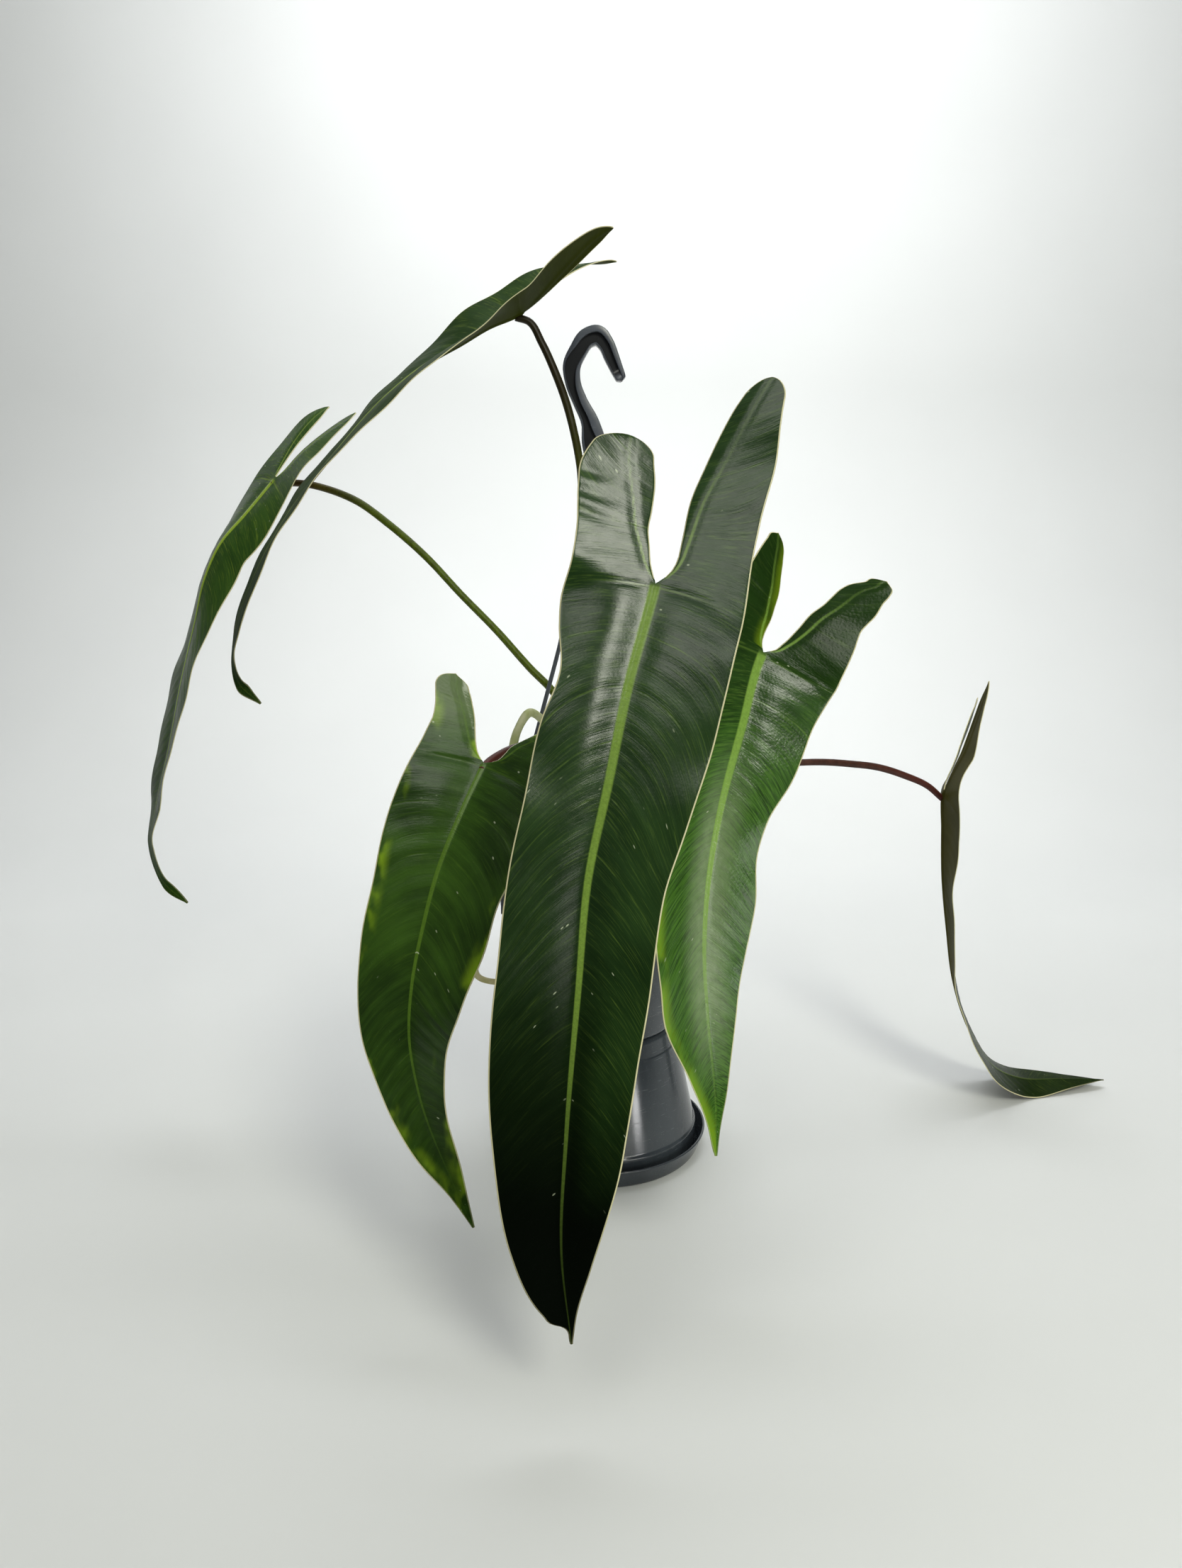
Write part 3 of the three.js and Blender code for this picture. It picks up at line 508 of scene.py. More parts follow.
# %% Blades
def ripples(name, side, v, x, outer):
    """How far the sheet rises from its plain form, in millimetres."""
    out = np.clip(x / np.maximum(outer, 1), 0, 1)
    seed = sum(ord(c) for c in name) * 0.37 + side
    wave = 0.55 * out ** 2 * (np.sin(v / 9.5 + seed) + 0.6 * np.sin(v / 5.3 - 2.1 * seed + 0.05 * x))
    if name == "front" and side < 0:
        cross = np.sin(v / 1.6 + 0.9 * np.sin(v / 7 + x / 9))
        cross *= soft_step(-v, 12, 24) * soft_step(-v, 48, 38)
        wave += 0.3 * cross * soft_step(out, 0.45, 0.9)
    return wave


def shoulder(v, x, outer, basal, share, fall=False):
    """The halves rise steeply from the midrib and round over, and each lobe's inner strip curls back.
    With fall, the half also hangs back beside the sinus."""
    out = np.clip(x / np.maximum(outer, 1), 0, 1)
    height = 1.7 * soft_step(v, -12, 25) * (1 - np.clip(share, 0, 1)) ** 0.5
    rise = height * ((1 - np.exp(-((x / 9) ** 2))) - out ** 1.5 * (1 - np.exp(-((outer / 9) ** 2))))
    if fall:
        rise = rise - 3.6 * soft_step(x, 10, 40) * soft_step(v, -4, 12) * soft_step(v, 115, 60)
    strip = np.where(v < 0, np.maximum(basal - x, 0), 0)
    curl = (0.15 if fall else 0.3) * strip * strip / (strip + 1.5)
    groove = 0.5 * np.exp(-((x - basal) / 2.0) ** 2) * (v < 0) * soft_step(-v, 0, 12)
    return rise - curl - groove


lobe_rows, body_rows, columns = 46, 230, 30
half_thick = 0.25


def blade(name):
    leaf, sheet = leaves[name], sheets[name]
    points, faces, chart, spot = [], [], [], []
    for side in (-1, 1):
        half = leaf["left" if side < 0 else "right"]
        lobe = half["outer"][0][0]
        lobe_v = lobe * np.cos(np.linspace(0, np.pi / 2, lobe_rows, endpoint=False))
        v = np.concatenate([lobe_v, sheet.length * np.linspace(0, 1, body_rows)])
        inner, outer = margins(half)(v)
        u = np.linspace(0, 1, columns)
        u = 0.5 * u + 0.5 * (0.5 - 0.5 * np.cos(np.pi * u))
        v, x = v[:, None] + 0 * u, inner[:, None] + (outer - inner)[:, None] * u
        inner, outer = inner[:, None] + 0 * u, outer[:, None] + 0 * u
        rib, side_vein, edge, basal = vein_chart(v, x, inner, outer, sheet.length, lobe)
        share = v / sheet.length
        quilt = 0.06 * np.cos(2 * np.pi * side_vein / 8.5)
        quilt = quilt * soft_step(edge, 0, 6) * soft_step(rib, 0.5, 7)
        lift = ripples(name, side, v, x, outer) + quilt
        lift += shoulder(v, x, outer, basal, share, name == "front" and side < 0)
        lift -= 0.55 * np.exp(-((side_vein - 1.5) / 1.6) ** 2) * soft_step(x, 2, 8) * soft_step(x, 34, 20)
        thick = half_thick * np.sqrt(1 - (1 - np.clip(edge / 0.6, 0.06, 1)) ** 2)
        rib_half = np.minimum(2.4 * (1 - 0.7 * share), 0.25 * np.maximum(outer, 1))
        inside = np.clip(1 - (x / rib_half) ** 2, 0, 1) * (v >= 0)
        keel = 1.1 * (1 - 0.8 * share) * np.sqrt(inside)
        vein = 0.16 * np.exp(-((rib / 1.1) ** 2)) * (v < 0)
        ridge = 0.30 * (1 - 0.6 * share) * np.exp(-((x / 1.3) ** 2)) * (v >= 0) + vein
        upper, _ = sheet.point(side, v, x, lift + thick + ridge)
        lower, _ = sheet.point(side, v, x, lift - thick - keel - vein)
        base, count, out = sum(len(p) for p in points), v.size, side * x / np.maximum(outer, 1)
        for under, layer in ((0, upper), (1, lower)):
            points.append(layer.reshape(-1, 3) / 1000)
            chart.append(np.stack([rib, side_vein, edge], -1).reshape(-1, 3))
            spot.append(np.stack([share, 0 * share + under, out], -1).reshape(-1, 3))
        grid = base + np.arange(count).reshape(v.shape)
        a, b, c, d = grid[:-1, :-1], grid[:-1, 1:], grid[1:, 1:], grid[1:, :-1]
        quads = np.stack([a, b, c, d], -1).reshape(-1, 4)
        top = quads if side < 0 else quads[:, ::-1]
        faces += [top, top[:, ::-1] + count]
        rim = [grid[:lobe_rows + 1, 0][::-1], grid[0, :], grid[:, -1], grid[-1, :][::-1]]
        for run in rim:
            wall = np.stack([run[:-1], run[1:], run[1:] + count, run[:-1] + count], -1)
            faces.append(wall[:, ::-1] if side < 0 else wall)
    piece = mesh_piece("leaf_" + name, np.concatenate(points), np.concatenate(faces))
    carry(piece, "leaf_chart", np.concatenate(chart))
    carry(piece, "leaf_spot", np.concatenate(spot))
    weld(piece, 2e-6)
    return piece


def carry(piece, name, rows):
    """Three numbers for each point of the mesh, for its finish to read."""
    layer = piece.data.attributes.new(name, "FLOAT_VECTOR", "POINT")
    layer.data.foreach_set("vector", rows.astype(np.float32).ravel())


def weld(piece, reach=1e-7):
    shape = bmesh.new()
    shape.from_mesh(piece.data)
    bmesh.ops.remove_doubles(shape, verts=shape.verts, dist=reach)
    bmesh.ops.recalc_face_normals(shape, faces=shape.faces)
    shape.to_mesh(piece.data)
    shape.free()
    piece.data.shade_smooth()


def stands_for(piece, slot, *nodes):
    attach(piece, "root")
    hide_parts(*nodes)


blades = {name: blade(name) for name in leaves}
for name, piece in blades.items():
    green = name in ("left", "right", "far_right")
    stands_for(piece, "leaf_green" if green else "leaf_dark", "blade_" + name)
print("faces per blade", {name: len(piece.data.polygons) for name, piece in blades.items()})

# %% [markdown]
# The green of a leaf is not one colour. The upper side is dark and waxy, greyer where the light grazes
# it, with a pale yellow-green midrib, fine side veins, a cream margin and a scatter of tiny pale specks.
# The underside is matt and olive. Younger leaves are brighter and fade to lime along their margins.

# %% Leaf finish
vein_gap = 23


def leaf_finish(name, dark, light, rib, under, seed, lime=0.0, lime_side=0.0, gloss=(0.18, 0.3),
                rib_mm=(2.5, 0.2), net=0.3, wax=1.0, tip=0.3, band=0.0, lobe=0.0):
    """Four colours: dark and light blots of the upper side, midrib, underside. Then shares from 0 for
    none to 1 for full: lime along the margins (lime_side -1 for the left half only), net of cells, wax,
    tip painted dark as shade and dulled, band of grey sheen painted beside the midrib with the lobes
    painted darker as shade, and left lobe painted pale as sheen. rib_mm is the midrib's width at either
    end, and gloss the roughness of the smoothest and the dullest spots."""
    finish = Finish("leaf_" + name, Specular_IOR_Level=0.4, IOR=1.45)
    near_rib, side_vein, edge = finish.axes(finish.chart("leaf_chart"))
    share, below, across = finish.axes(finish.chart("leaf_spot"))
    # noise laid out on the leaf's chart, so that streaks and specks follow the side veins
    broad, fine = finish.grain(34, 3.0, seed=seed), finish.grain(5, 4.0, 0.6, seed=seed + 1)
    drift = (finish.grain(22, 2.0, seed=seed + 2) - 0.5) * 2.4
    flow = finish.point(side_vein + drift * 0.5, near_rib * 0.05, across * 1.5 + seed)
    brush = finish.noise(flow, 1.5, 3.0, 0.6)
    streak = finish.noise(flow * (1.0, 1.6, 1.0), 0.22, 4.0, 0.6)
    main = (((side_vein + drift) / vein_gap + 0.5).part() - 0.5).size() * vein_gap
    main_line = main.between(0.6, 0.1) * finish.grain(9, 2.0, seed=seed + 3).between(0.35, 0.7)
    # the upper side, from its blots up to the midrib and the specks
    green = finish.blend(broad.between(0.3, 0.72) * 0.6 + streak.between(0.35, 0.7) * 0.4, dark, light)
    green = finish.blend(brush.between(0.5, 0.72) * 0.16, green, rib)
    green = finish.blend(main_line * 0.24, green, rib)
    crease = (side_vein - 1.5).size().between(0.8, 0.1) * near_rib.between(34, 8)
    green = finish.blend(crease * share.between(0.06, 0.03) * 0.3, green, rib)
    if lime:
        patches = finish.grain(16, 3.0, stretch=(1, 1, 0.5), seed=seed + 4)
        patches = edge.between(7.5, 0.5) * patches.between(0.5 - 0.18 * band, 0.63 - 0.14 * band)
        if lime_side:
            patches = patches * (across * lime_side).between(-0.2, 0.2)
        green = finish.blend(patches * lime, green, tone(142, 178, 30))
    # painted shade: towards the tip the blade is darkened almost to black; the right half is darkened
    # less there and stays lighter as painted sheen
    shade = share.between(0.2, 0.85) * (1.0 - across.between(0.1, 0.6) * share.between(0.85, 0.6) * 0.6)
    green = finish.blend(shade * tip, green, scaled(dark, 0.06))
    # painted light on the right leaf: the lobes are painted darker as shade, and a pale grey sheen is
    # painted in a band beside the midrib
    if band:
        body = share.between(0.02, 0.3) * brush.between(0.3, 0.6)
        green = finish.blend(body * 0.5, green, tone(84, 134, 44))
        green = finish.blend(share.between(0.08, -0.04) * 0.6, green, scaled(dark, 0.55))
        painted_sheen_band = near_rib.between(16, 3) * share.between(0.15, 0.4) * share.between(0.9, 0.65)
        green = finish.blend(painted_sheen_band * (fine * 0.7 + 0.25) * band, green, tone(150, 168, 130))
    # painted sheen: the outer part of the left lobe is painted pale, as a highlight
    if lobe:
        pale = across.between(-0.1, -0.4) * share.between(-0.02, -0.12)
        green = finish.blend(pale * lobe, green, tone(140, 158, 112))
    width = share * (rib_mm[1] - rib_mm[0]) + rib_mm[0]
    on_rib = (near_rib / width.most(0.25)).between(1.25, 0.7) * share.between(-0.004, 0.012)
    basal = near_rib.between(1.1, 0.2) * share.between(0.0, -0.02)
    rib_grain = finish.grain(1.1, 2.0, 0.7, seed=seed + 6).between(0.3, 0.7) * 0.25 + 0.75
    green = finish.blend((on_rib * share.between(0.95, 0.4) * 0.85 + on_rib * 0.1) * rib_grain
                         + basal * share.between(-0.22, -0.01) * 0.6 + basal * 0.12, green, rib)
    specks = finish.cells("F1", flow * (0.5, 6.0, 1.0), 0.42).between(0.1, 0.05)
    flecks = specks * finish.grain(12, 2.0, seed=seed + 5).between(0.52, 0.62) * below.between(0.5, 0.1)
    green = finish.blend(flecks * 0.7, green, tone(178, 188, 158))
    # the underside, and the margin over both
    back = finish.blend(broad.between(0.3, 0.7), under, scaled(under, 1.35))
    veins = main_line * 0.25 + brush.between(0.5, 0.7) * 0.2
    veins = veins + near_rib.between(2.2, 1.2) * share.between(0, 0.01) * 0.5
    back = finish.blend(veins, back, scaled(under, 1.9))
    colour = finish.blend(below, green, back)
    margin = edge.between(0.62, 0.4) * (0.9 - share.between(0.75, 1.0) * 0.7)
    colour = finish.blend(margin, colour, tone(214, 208, 166))
    cells = finish.cells("SMOOTH_F1", finish.place(), 850.0)
    height = brush * 0.9 + streak * 1.3 + main_line * -0.5 + fine * 0.5 + cells * net
    finish.varies(
        Base_Color=colour,
        Roughness=fine * (gloss[1] - gloss[0]) + gloss[0] + (streak - 0.5) * 0.12 + below * 0.2,
        Normal=finish.relief(height, 0.09, 0.8),
    )
    dull = below.most(share.between(0.55 - 0.25 * tip, 1.1 - 0.4 * tip)).most(1.0 - wax)
    if band:
        dull = dull.most(share.between(0.06, -0.04) * 0.75)
    finish.dulled(dull, Specular_IOR_Level=0.02, Roughness=0.55)
    return finish.material


# tip paints shade on the front leaf's tip, band paints shade on the right leaf's lobes and a sheen beside
# its midrib, and lobe paints a sheen on the left leaf's lobe
looks = {
    "front": (tone(22, 44, 15), tone(40, 66, 28), tone(118, 148, 60), tone(92, 104, 56), 1,
              {"tip": 1.0}),
    "left": (tone(26, 48, 9), tone(56, 88, 24), tone(84, 116, 34), tone(96, 112, 58), 2,
             {"lime": 0.7, "rib_mm": (1.4, 0.15), "wax": 0.9, "lobe": 0.35}),
    "right": (tone(26, 50, 12), tone(47, 80, 27), tone(132, 170, 72), tone(100, 118, 62), 3,
              {"lime": 0.95, "lime_side": -1.0, "gloss": (0.16, 0.28), "net": 0.8, "band": 0.85}),
    "top": (tone(26, 48, 15), tone(44, 68, 25), tone(134, 156, 62), tone(48, 54, 12), 4,
            {"wax": 0.1}),
    "far_left": (tone(34, 62, 17), tone(54, 84, 28), tone(150, 176, 58), tone(64, 74, 34), 5,
                 {"wax": 0.6}),
    "far_right": (tone(22, 38, 9), tone(36, 54, 18), tone(110, 130, 50), tone(60, 58, 24), 6,
                  {"wax": 0.4}),
}
for name, (*colours, shares) in looks.items():
    blades[name].data.materials.append(leaf_finish(name, *colours, **shares))
print("leaf finishes", len(looks))

# %% [markdown]
# Stalks, stem and root are round and taper along a line. A ring of points is carried along the line
# without twisting, and its radius follows the solid's. Each ring also remembers how far along it is,
# so that leaf scars and reddening can be placed by distance.

# %% Tubes along a line
def woven(count, corners):
    """The numbers of the points in count rings, and the faces between each ring and the next."""
    grid = np.arange(count * corners).reshape(count, corners)
    near = np.roll(grid, -1, 1)
    return grid, list(np.stack([grid[:-1], near[:-1], near[1:], grid[1:]], -1).reshape(-1, 4))


def capped(count, corners):
    """The same faces, with a flat face over the first ring and the last."""
    grid, faces = woven(count, corners)
    return faces + [grid[0][::-1], grid[-1]]


def carried_rings(path, steps):
    s = np.linspace(0, path.length, steps + 1)
    centres, along = path.point(s), path.tangent(s)
    side = np.cross(along[0], [0.31, 0.9, 0.3])
    sides = []
    for t in along:
        side = side - t * (side @ t)
        side = side / np.linalg.norm(side)
        sides.append(side)
    sides = np.array(sides)
    return s, centres, sides, np.cross(along, sides)


def tube(name, points, girth, steps, corners=20):
    path = Path(points)
    s, centres, first, second = carried_rings(path, steps)
    angle = np.linspace(0, 2 * np.pi, corners, endpoint=False)
    radius = girth(s[:, None] / path.length, angle[None, :])
    rings = (centres[:, None] + first[:, None] * (np.cos(angle) * radius)[..., None]
             + second[:, None] * (np.sin(angle) * radius)[..., None])
    grid, faces = woven(steps + 1, corners)
    points = rings.reshape(-1, 3)
    for ring, centre in ((grid[0][::-1], centres[0]), (grid[-1], centres[-1])):
        points = np.vstack([points, centre])
        faces += [(ring[i], ring[(i + 1) % corners], len(points) - 1) for i in range(corners)]
    piece = mesh_piece(name, points / 1000, faces)
    reached = np.append(np.repeat(s, corners), [0, path.length])
    carry(piece, "along", np.stack([reached, reached / path.length, 0 * reached], -1))
    weld(piece)
    return piece


# %% [markdown]
# Six stalks rise from the stem and bend over to hold their leaves. A stalk is thick and sheathing at the
# stem and thin at the neck, where it is stiff and often red. Its line ends inside the blade's keel.

# %% Leaf stalks
def seat_of(name):
    """Where a stalk ends: just behind the blade, a little below the sinus."""
    sheet = sheets[name]
    centre, up, _ = sheet.frame(np.array([3.5]))
    return (centre - up * 0.6)[0]


stalk_lines = {
    "front": [[-2, -4, 232], [2, -20, 246], [6, -60, 283], [10, -105, 322], [15, -142, 336],
              [19, -158, 338]],
    "left": [[-1, -3, 203], [-8, -20, 214], [-22, -54, 240], [-38, -90, 262], [-50, -112, 262],
             [-56, -121, 259]],
    "right": [[0, -3, 214], [14, -12, 227], [32, -30, 252], [49, -60, 284], [64, -87, 301],
              [73, -99, 306]],
    "top": [[-2, -4, 234], [-4, -6, 252], [-6, -9, 278], [-8, -11, 318], [-12, -13, 364],
            [-13, -13, 403], [-16, -13, 419], [-20, -12, 434], [-26, -12, 450], [-33, -11, 465],
            [-40, -11, 476]],
    "far_left": [[-2, -3, 219], [-10, 2, 234], [-18, 6, 256], [-29, 9, 277], [-42, 12, 290],
                 [-62, 16, 312], [-83, 20, 333], [-103, 24, 354], [-124, 28, 372], [-144, 31, 386],
                 [-159, 33, 392], [-180, 36, 396]],
    "far_right": [[0, -1, 190], [18, 3, 203], [46, 11, 216], [81, 20, 226], [112, 28, 231],
                  [134, 33, 231], [152, 38, 229], [171, 42, 226], [189, 45, 220], [204, 48, 213]],
}
stalk_girth = through([[0, 3.6], [0.12, 2.7], [0.4, 2.1], [0.88, 2.1], [1, 1.9]])


def stalk_radius(share, angle):
    return stalk_girth(share) * (1 + 0.035 * np.cos(3 * angle + 2 * share) + 0.02 * np.sin(5 * angle))


stalks = {name: tube("stalk_" + name, line + [list(seat_of(name))], stalk_radius, 150)
          for name, line in stalk_lines.items()}
print("stalk faces", {name: len(piece.data.polygons) for name, piece in stalks.items()})

# %% [markdown]
# The stalks are satin and speckled. Those of the older leaves are olive with brown flecks, the top
# one is almost brown, and two are red-brown. Near the leaf each turns darker and redder over its last
# centimetres.

# %% Stalk finish
def stalk_finish(name, body, fleck, neck, seed, turns=(0.72, 0.97)):
    finish = Finish(name, Specular_IOR_Level=0.2)
    along, share, _ = finish.axes(finish.chart("along"))
    streak = finish.grain(2.2, 3.0, 0.6, stretch=(1.0, 1.0, 0.25), seed=seed)
    spots = finish.grain(0.8, 2.0, 0.7, seed=seed + 1)
    colour = finish.blend(streak.between(0.35, 0.7), body, scaled(body, 1.5))
    colour = finish.blend(spots.between(0.52, 0.62) * 0.7, colour, fleck)
    colour = finish.blend(share.between(*turns) * 0.85, colour, neck)
    relief = finish.relief(streak + spots * 0.4, 0.12, 0.7)
    finish.varies(Base_Color=colour, Roughness=streak * 0.25 + 0.28, Normal=relief)
    return finish.material


olive, brown, wine = tone(74, 90, 12), tone(58, 50, 14), tone(60, 34, 24)
stalk_looks = {
    "stalk_olive": stalk_finish("stalk_olive", olive, brown, tone(70, 44, 30), 3),
    "stalk_dark": stalk_finish("stalk_dark", tone(60, 68, 12), brown, tone(32, 19, 13), 5, (0.5, 0.85)),
    "stalk_red": stalk_finish("stalk_red", wine, tone(48, 30, 24), tone(82, 40, 34), 7),
}
slots = {"front": "stalk_olive", "right": "stalk_olive", "far_left": "stalk_olive", "left": "stalk_red",
         "top": "stalk_red", "far_right": "stalk_red"}
for name, piece in stalks.items():
    piece.data.materials.append(stalk_looks["stalk_dark" if name == "top" else slots[name]])
    stands_for(piece, slots[name], "petiole_" + name)
print("stalk finishes", list(stalk_looks))

# %% [markdown]
# The stem climbs out of the mix. Every leaf leaves a scar that rings it, with a swelling behind, and
# between the scars its skin is finely ribbed. A single aerial root arches over the rim and hangs outside.

# %% Stem and aerial root
stem_line = [[-1, 1, 100], [-1, 0, 128], [0, 0, 150], [1, -1, 180], [-1, -2, 210], [-2, -4, 240]]
scars = (0.52, 0.63, 0.73, 0.82, 0.9, 0.97)


def dome(share, least):
    """1 all along, and rounded down to a small end over the last hundredth and a half."""
    return np.sqrt(np.clip(1 - ((share - 0.985) / 0.0152).clip(0, 1) ** 2, least, 1))


def stem_radius(share, angle):
    swell = sum(1.1 * np.exp(-(((share - scar) / 0.018) ** 2)) for scar in scars)
    crease = sum(0.5 * np.exp(-(((share - scar - 0.014) / 0.004) ** 2)) for scar in scars)
    return (6.6 - 0.9 * share + swell - crease + 0.12 * np.cos(9 * angle)) * dome(share, 0.03)


def root_radius(share, angle):
    end = np.sqrt(np.clip((1 - share) / 0.012, 0.02, 1))
    return (2.3 - 0.9 * share ** 3 + 0.12 * np.sin(60 * share + 2 * angle)) * end


root_line = [[-3, -6, 226], [-13, -14, 241], [-23, -26, 259], [-32, -39, 267], [-40, -50, 273],
             [-46, -57, 264], [-49, -60, 250], [-55, -66, 210], [-64, -68, 167], [-70, -68, 143],
             [-68, -68, 132], [-59, -68, 129], [-43, -68, 133], [-31, -66, 143]]
stem = tube("stem_with_scars", stem_line, stem_radius, 260, 36)
stands_for(stem, "stem_green", "stem")
root = tube("hanging_root", root_line, root_radius, 260, 20)
stands_for(root, "root_pale", "aerial_root")

skin = Finish("stem_skin")
ribbed = skin.grain(1.6, 3.0, 0.6, stretch=(1, 1, 0.12))
blots = skin.grain(7, 3.0)
skin_colour = skin.blend(blots.between(0.35, 0.65), tone(92, 104, 48), tone(120, 122, 66))
skin_colour = skin.blend(ribbed.between(0.55, 0.75) * 0.6, skin_colour, tone(92, 74, 44))
skin.varies(Base_Color=skin_colour, Roughness=ribbed * 0.3 + 0.35, Normal=skin.relief(ribbed, 0.3, 0.8))
stem.data.materials.append(skin.material)

root_skin = Finish("root_skin")
_, share, _ = root_skin.axes(root_skin.chart("along"))
bloom, cracks = root_skin.grain(6, 3.0), root_skin.grain(0.9, 3.0, 0.65, stretch=(1, 1, 0.4))
root_colour = root_skin.blend(bloom.between(0.35, 0.7), tone(182, 190, 128), tone(208, 210, 168))
root_colour = root_skin.blend(share.between(0.6, 1.0) * 0.7, root_colour, tone(146, 120, 80))
root_relief = root_skin.relief(cracks, 0.15, 0.8)
root_skin.varies(Base_Color=root_colour, Roughness=cracks * 0.3 + 0.45, Normal=root_relief)
root.data.materials.append(root_skin.material)
print("stem faces", len(stem.data.polygons), "root faces", len(root.data.polygons))

# %% [markdown]
# The two pots are the same thin-walled nursery pot, one the right way up and one upside down. A moulded
# pot is round, so its wall's outline is drawn once, its corners are rounded, and the outline is turned
# about the upright axis. The drain holes in the base are then cut through with a Boolean.

# %% Turned pieces
def rounded(profile, *bends):
    """The profile with each corner but the first and the last replaced by an arc of bends' radius there,
    or of 0.35 mm where bends has ended."""
    profile = np.array(profile, float)
    out = [profile[0]]
    for i, corner in enumerate(profile[1:-1], 1):
        before, after = profile[i - 1] - corner, profile[i + 1] - corner
        bend = bends[i - 1] if i <= len(bends) else 0.35
        reach = min(bend, 0.45 * np.linalg.norm(before), 0.45 * np.linalg.norm(after))
        start = corner + before / np.linalg.norm(before) * reach
        end = corner + after / np.linalg.norm(after) * reach
        for u in np.linspace(0, 1, 5):
            out.append((1 - u) ** 2 * start + 2 * u * (1 - u) * corner + u * u * end)
    return np.array(out + [profile[-1]])


def turned(name, profile, sides=160):
    """A closed solid of revolution, from [radius, height] pairs that start and end on the axis."""
    body = profile[1:-1]
    angle = np.linspace(0, 2 * np.pi, sides, endpoint=False)
    radius, height = body[:, :1], body[:, 1:]
    ring = np.stack([radius * np.cos(angle), radius * np.sin(angle), height + 0 * angle], -1)
    grid, faces = woven(len(body), sides)
    near = np.roll(grid, -1, 1)
    points = np.vstack([ring.reshape(-1, 3), [[0, 0, profile[0][1]], [0, 0, profile[-1][1]]]])
    first, last = len(points) - 2, len(points) - 1
    faces += [(first, near[0][i], grid[0][i]) for i in range(sides)]
    faces += [(last, grid[-1][i], near[-1][i]) for i in range(sides)]
    piece = mesh_piece(name, points / 1000, faces)
    weld(piece)
    return piece


def settle(piece):
    """Works the piece's modifiers into its mesh."""
    view = bpy.context.evaluated_depsgraph_get()
    piece.data = bpy.data.meshes.new_from_object(piece.evaluated_get(view))
    piece.modifiers.clear()


def from_shape(name, shape):
    mesh = bpy.data.meshes.new(name)
    shape.to_mesh(mesh)
    shape.free()
    return placed(name, mesh)


# %% Nursery pots
def pot_profile(shoulder):
    outside = [[0, 0], [41.5, 0], [43, 1.5], [44.6, shoulder - 0.4], [45.2, shoulder], [56.3, 62.8],
               [57.3, 64], [57.5, 77], [56.8, 78]]
    inside = [[55.7, 78], [55.4, 64.6], [54.5, 62.4], [42.2, 3], [39.7, 1.8], [0, 1.8]]
    return rounded(outside + inside, 0.8, 1.0, 0.3, 0.5, 0.7, 0.6, 0.5, 0.4, 0.4)


def pot(name, shoulder):
    piece = turned(name, pot_profile(shoulder))
    drill, hole_count, hole_ring, hole_radius = bmesh.new(), 6, 0.028, 0.004
    for i in range(hole_count):
        turn = 2 * math.pi * (i + 0.5) / hole_count
        at = Matrix.Translation((hole_ring * math.cos(turn), hole_ring * math.sin(turn), 0.001))
        bmesh.ops.create_cone(drill, cap_ends=True, segments=36, radius1=hole_radius,
                              radius2=hole_radius, depth=0.006, matrix=at)
    holes = from_shape("holes", drill)
    knife = piece.modifiers.new("cut", "BOOLEAN")
    knife.operation, knife.solver, knife.object = "DIFFERENCE", "EXACT", holes
    settle(piece)
    bpy.data.objects.remove(holes)
    return piece


stand = pot("upturned_pot", 11)
stand.data.transform(Matrix.Translation((0, 0, 0.0798)) @ Matrix.Rotation(math.pi, 4, "X"))
hanging = pot("planted_pot", 15)
hanging.data.transform(Matrix.Translation((0, 0, 0.0801)))
dish_profile = [[0, 0], [58.2, 0], [59.2, 1], [63.3, 11.5], [62.9, 12], [62, 12], [58.2, 2.1],
                [57.5, 1.5], [0, 1.5]]
dish = turned("drip_saucer", rounded(dish_profile, 0.6, 0.6, 0.3, 0.25, 0.25, 0.8, 0.6), 192)
for piece, node in ((stand, "stand_pot"), (hanging, "hanging_pot"), (dish, "saucer")):
    piece.data.shade_smooth()
    stands_for(piece, "pot_plastic", node)
print("pot faces", len(stand.data.polygons), "saucer faces", len(dish.data.polygons))

# %% [markdown]
# Anthracite nursery plastic is glossy polypropylene. It shows soft streaks round the wall from the
# mould, faint water marks and dust low down, and fine scuffs where pots have been stacked. The scuffs
# are noise stretched round the wall, and dust is a little paler and rougher.

# %% Pot finish
def plastic_finish(name, body, pale, gloss, seed, paint_channel_shade=False):
    """With paint_channel_shade, the hook's channel is painted nearly black, as shade in its recess."""
    finish = Finish(name, Specular_IOR_Level=0.55, IOR=1.5)
    smear = finish.grain(26, 4.0, 0.6, stretch=(1, 1, 0.35), seed=seed)
    scuff = finish.grain(1.6, 2.0, 0.7, stretch=(0.12, 0.12, 2.2), seed=seed + 1)
    dust = finish.grain(0.7, 2.0, 0.7, seed=seed + 2).between(0.66, 0.74)
    scratched = scuff.between(0.62, 0.74) * smear.between(0.45, 0.65)
    colour = finish.blend(smear.between(0.35, 0.75), body, pale)
    colour = finish.blend(scratched * 0.25 + dust * 0.18, colour, tone(128, 134, 138))
    # painted shade: the hook's sunken channel is darkened nearly to black
    if paint_channel_shade:
        _, y, z = finish.axes(finish.place())
        channel = y.size().between(0.0028, 0.0018) * z.between(0.404, 0.412)
        colour = finish.blend(channel * 0.92, colour, tone(10, 12, 14))
    finish.varies(
        Base_Color=colour,
        Roughness=smear * 0.16 + gloss + scratched * 0.18 + dust * 0.2,
        Normal=finish.relief(scuff * 0.3 + finish.grain(3.2, 2.0, seed=seed + 3), 0.03, 0.6),
    )
    return finish.material


pot_look = plastic_finish("pot_plastic", tone(47, 52, 57), tone(58, 64, 69), 0.08, 2)
for piece in (stand, hanging, dish):
    piece.data.materials.clear()
    piece.data.materials.append(pot_look)
print("pot finish", pot_look.name)

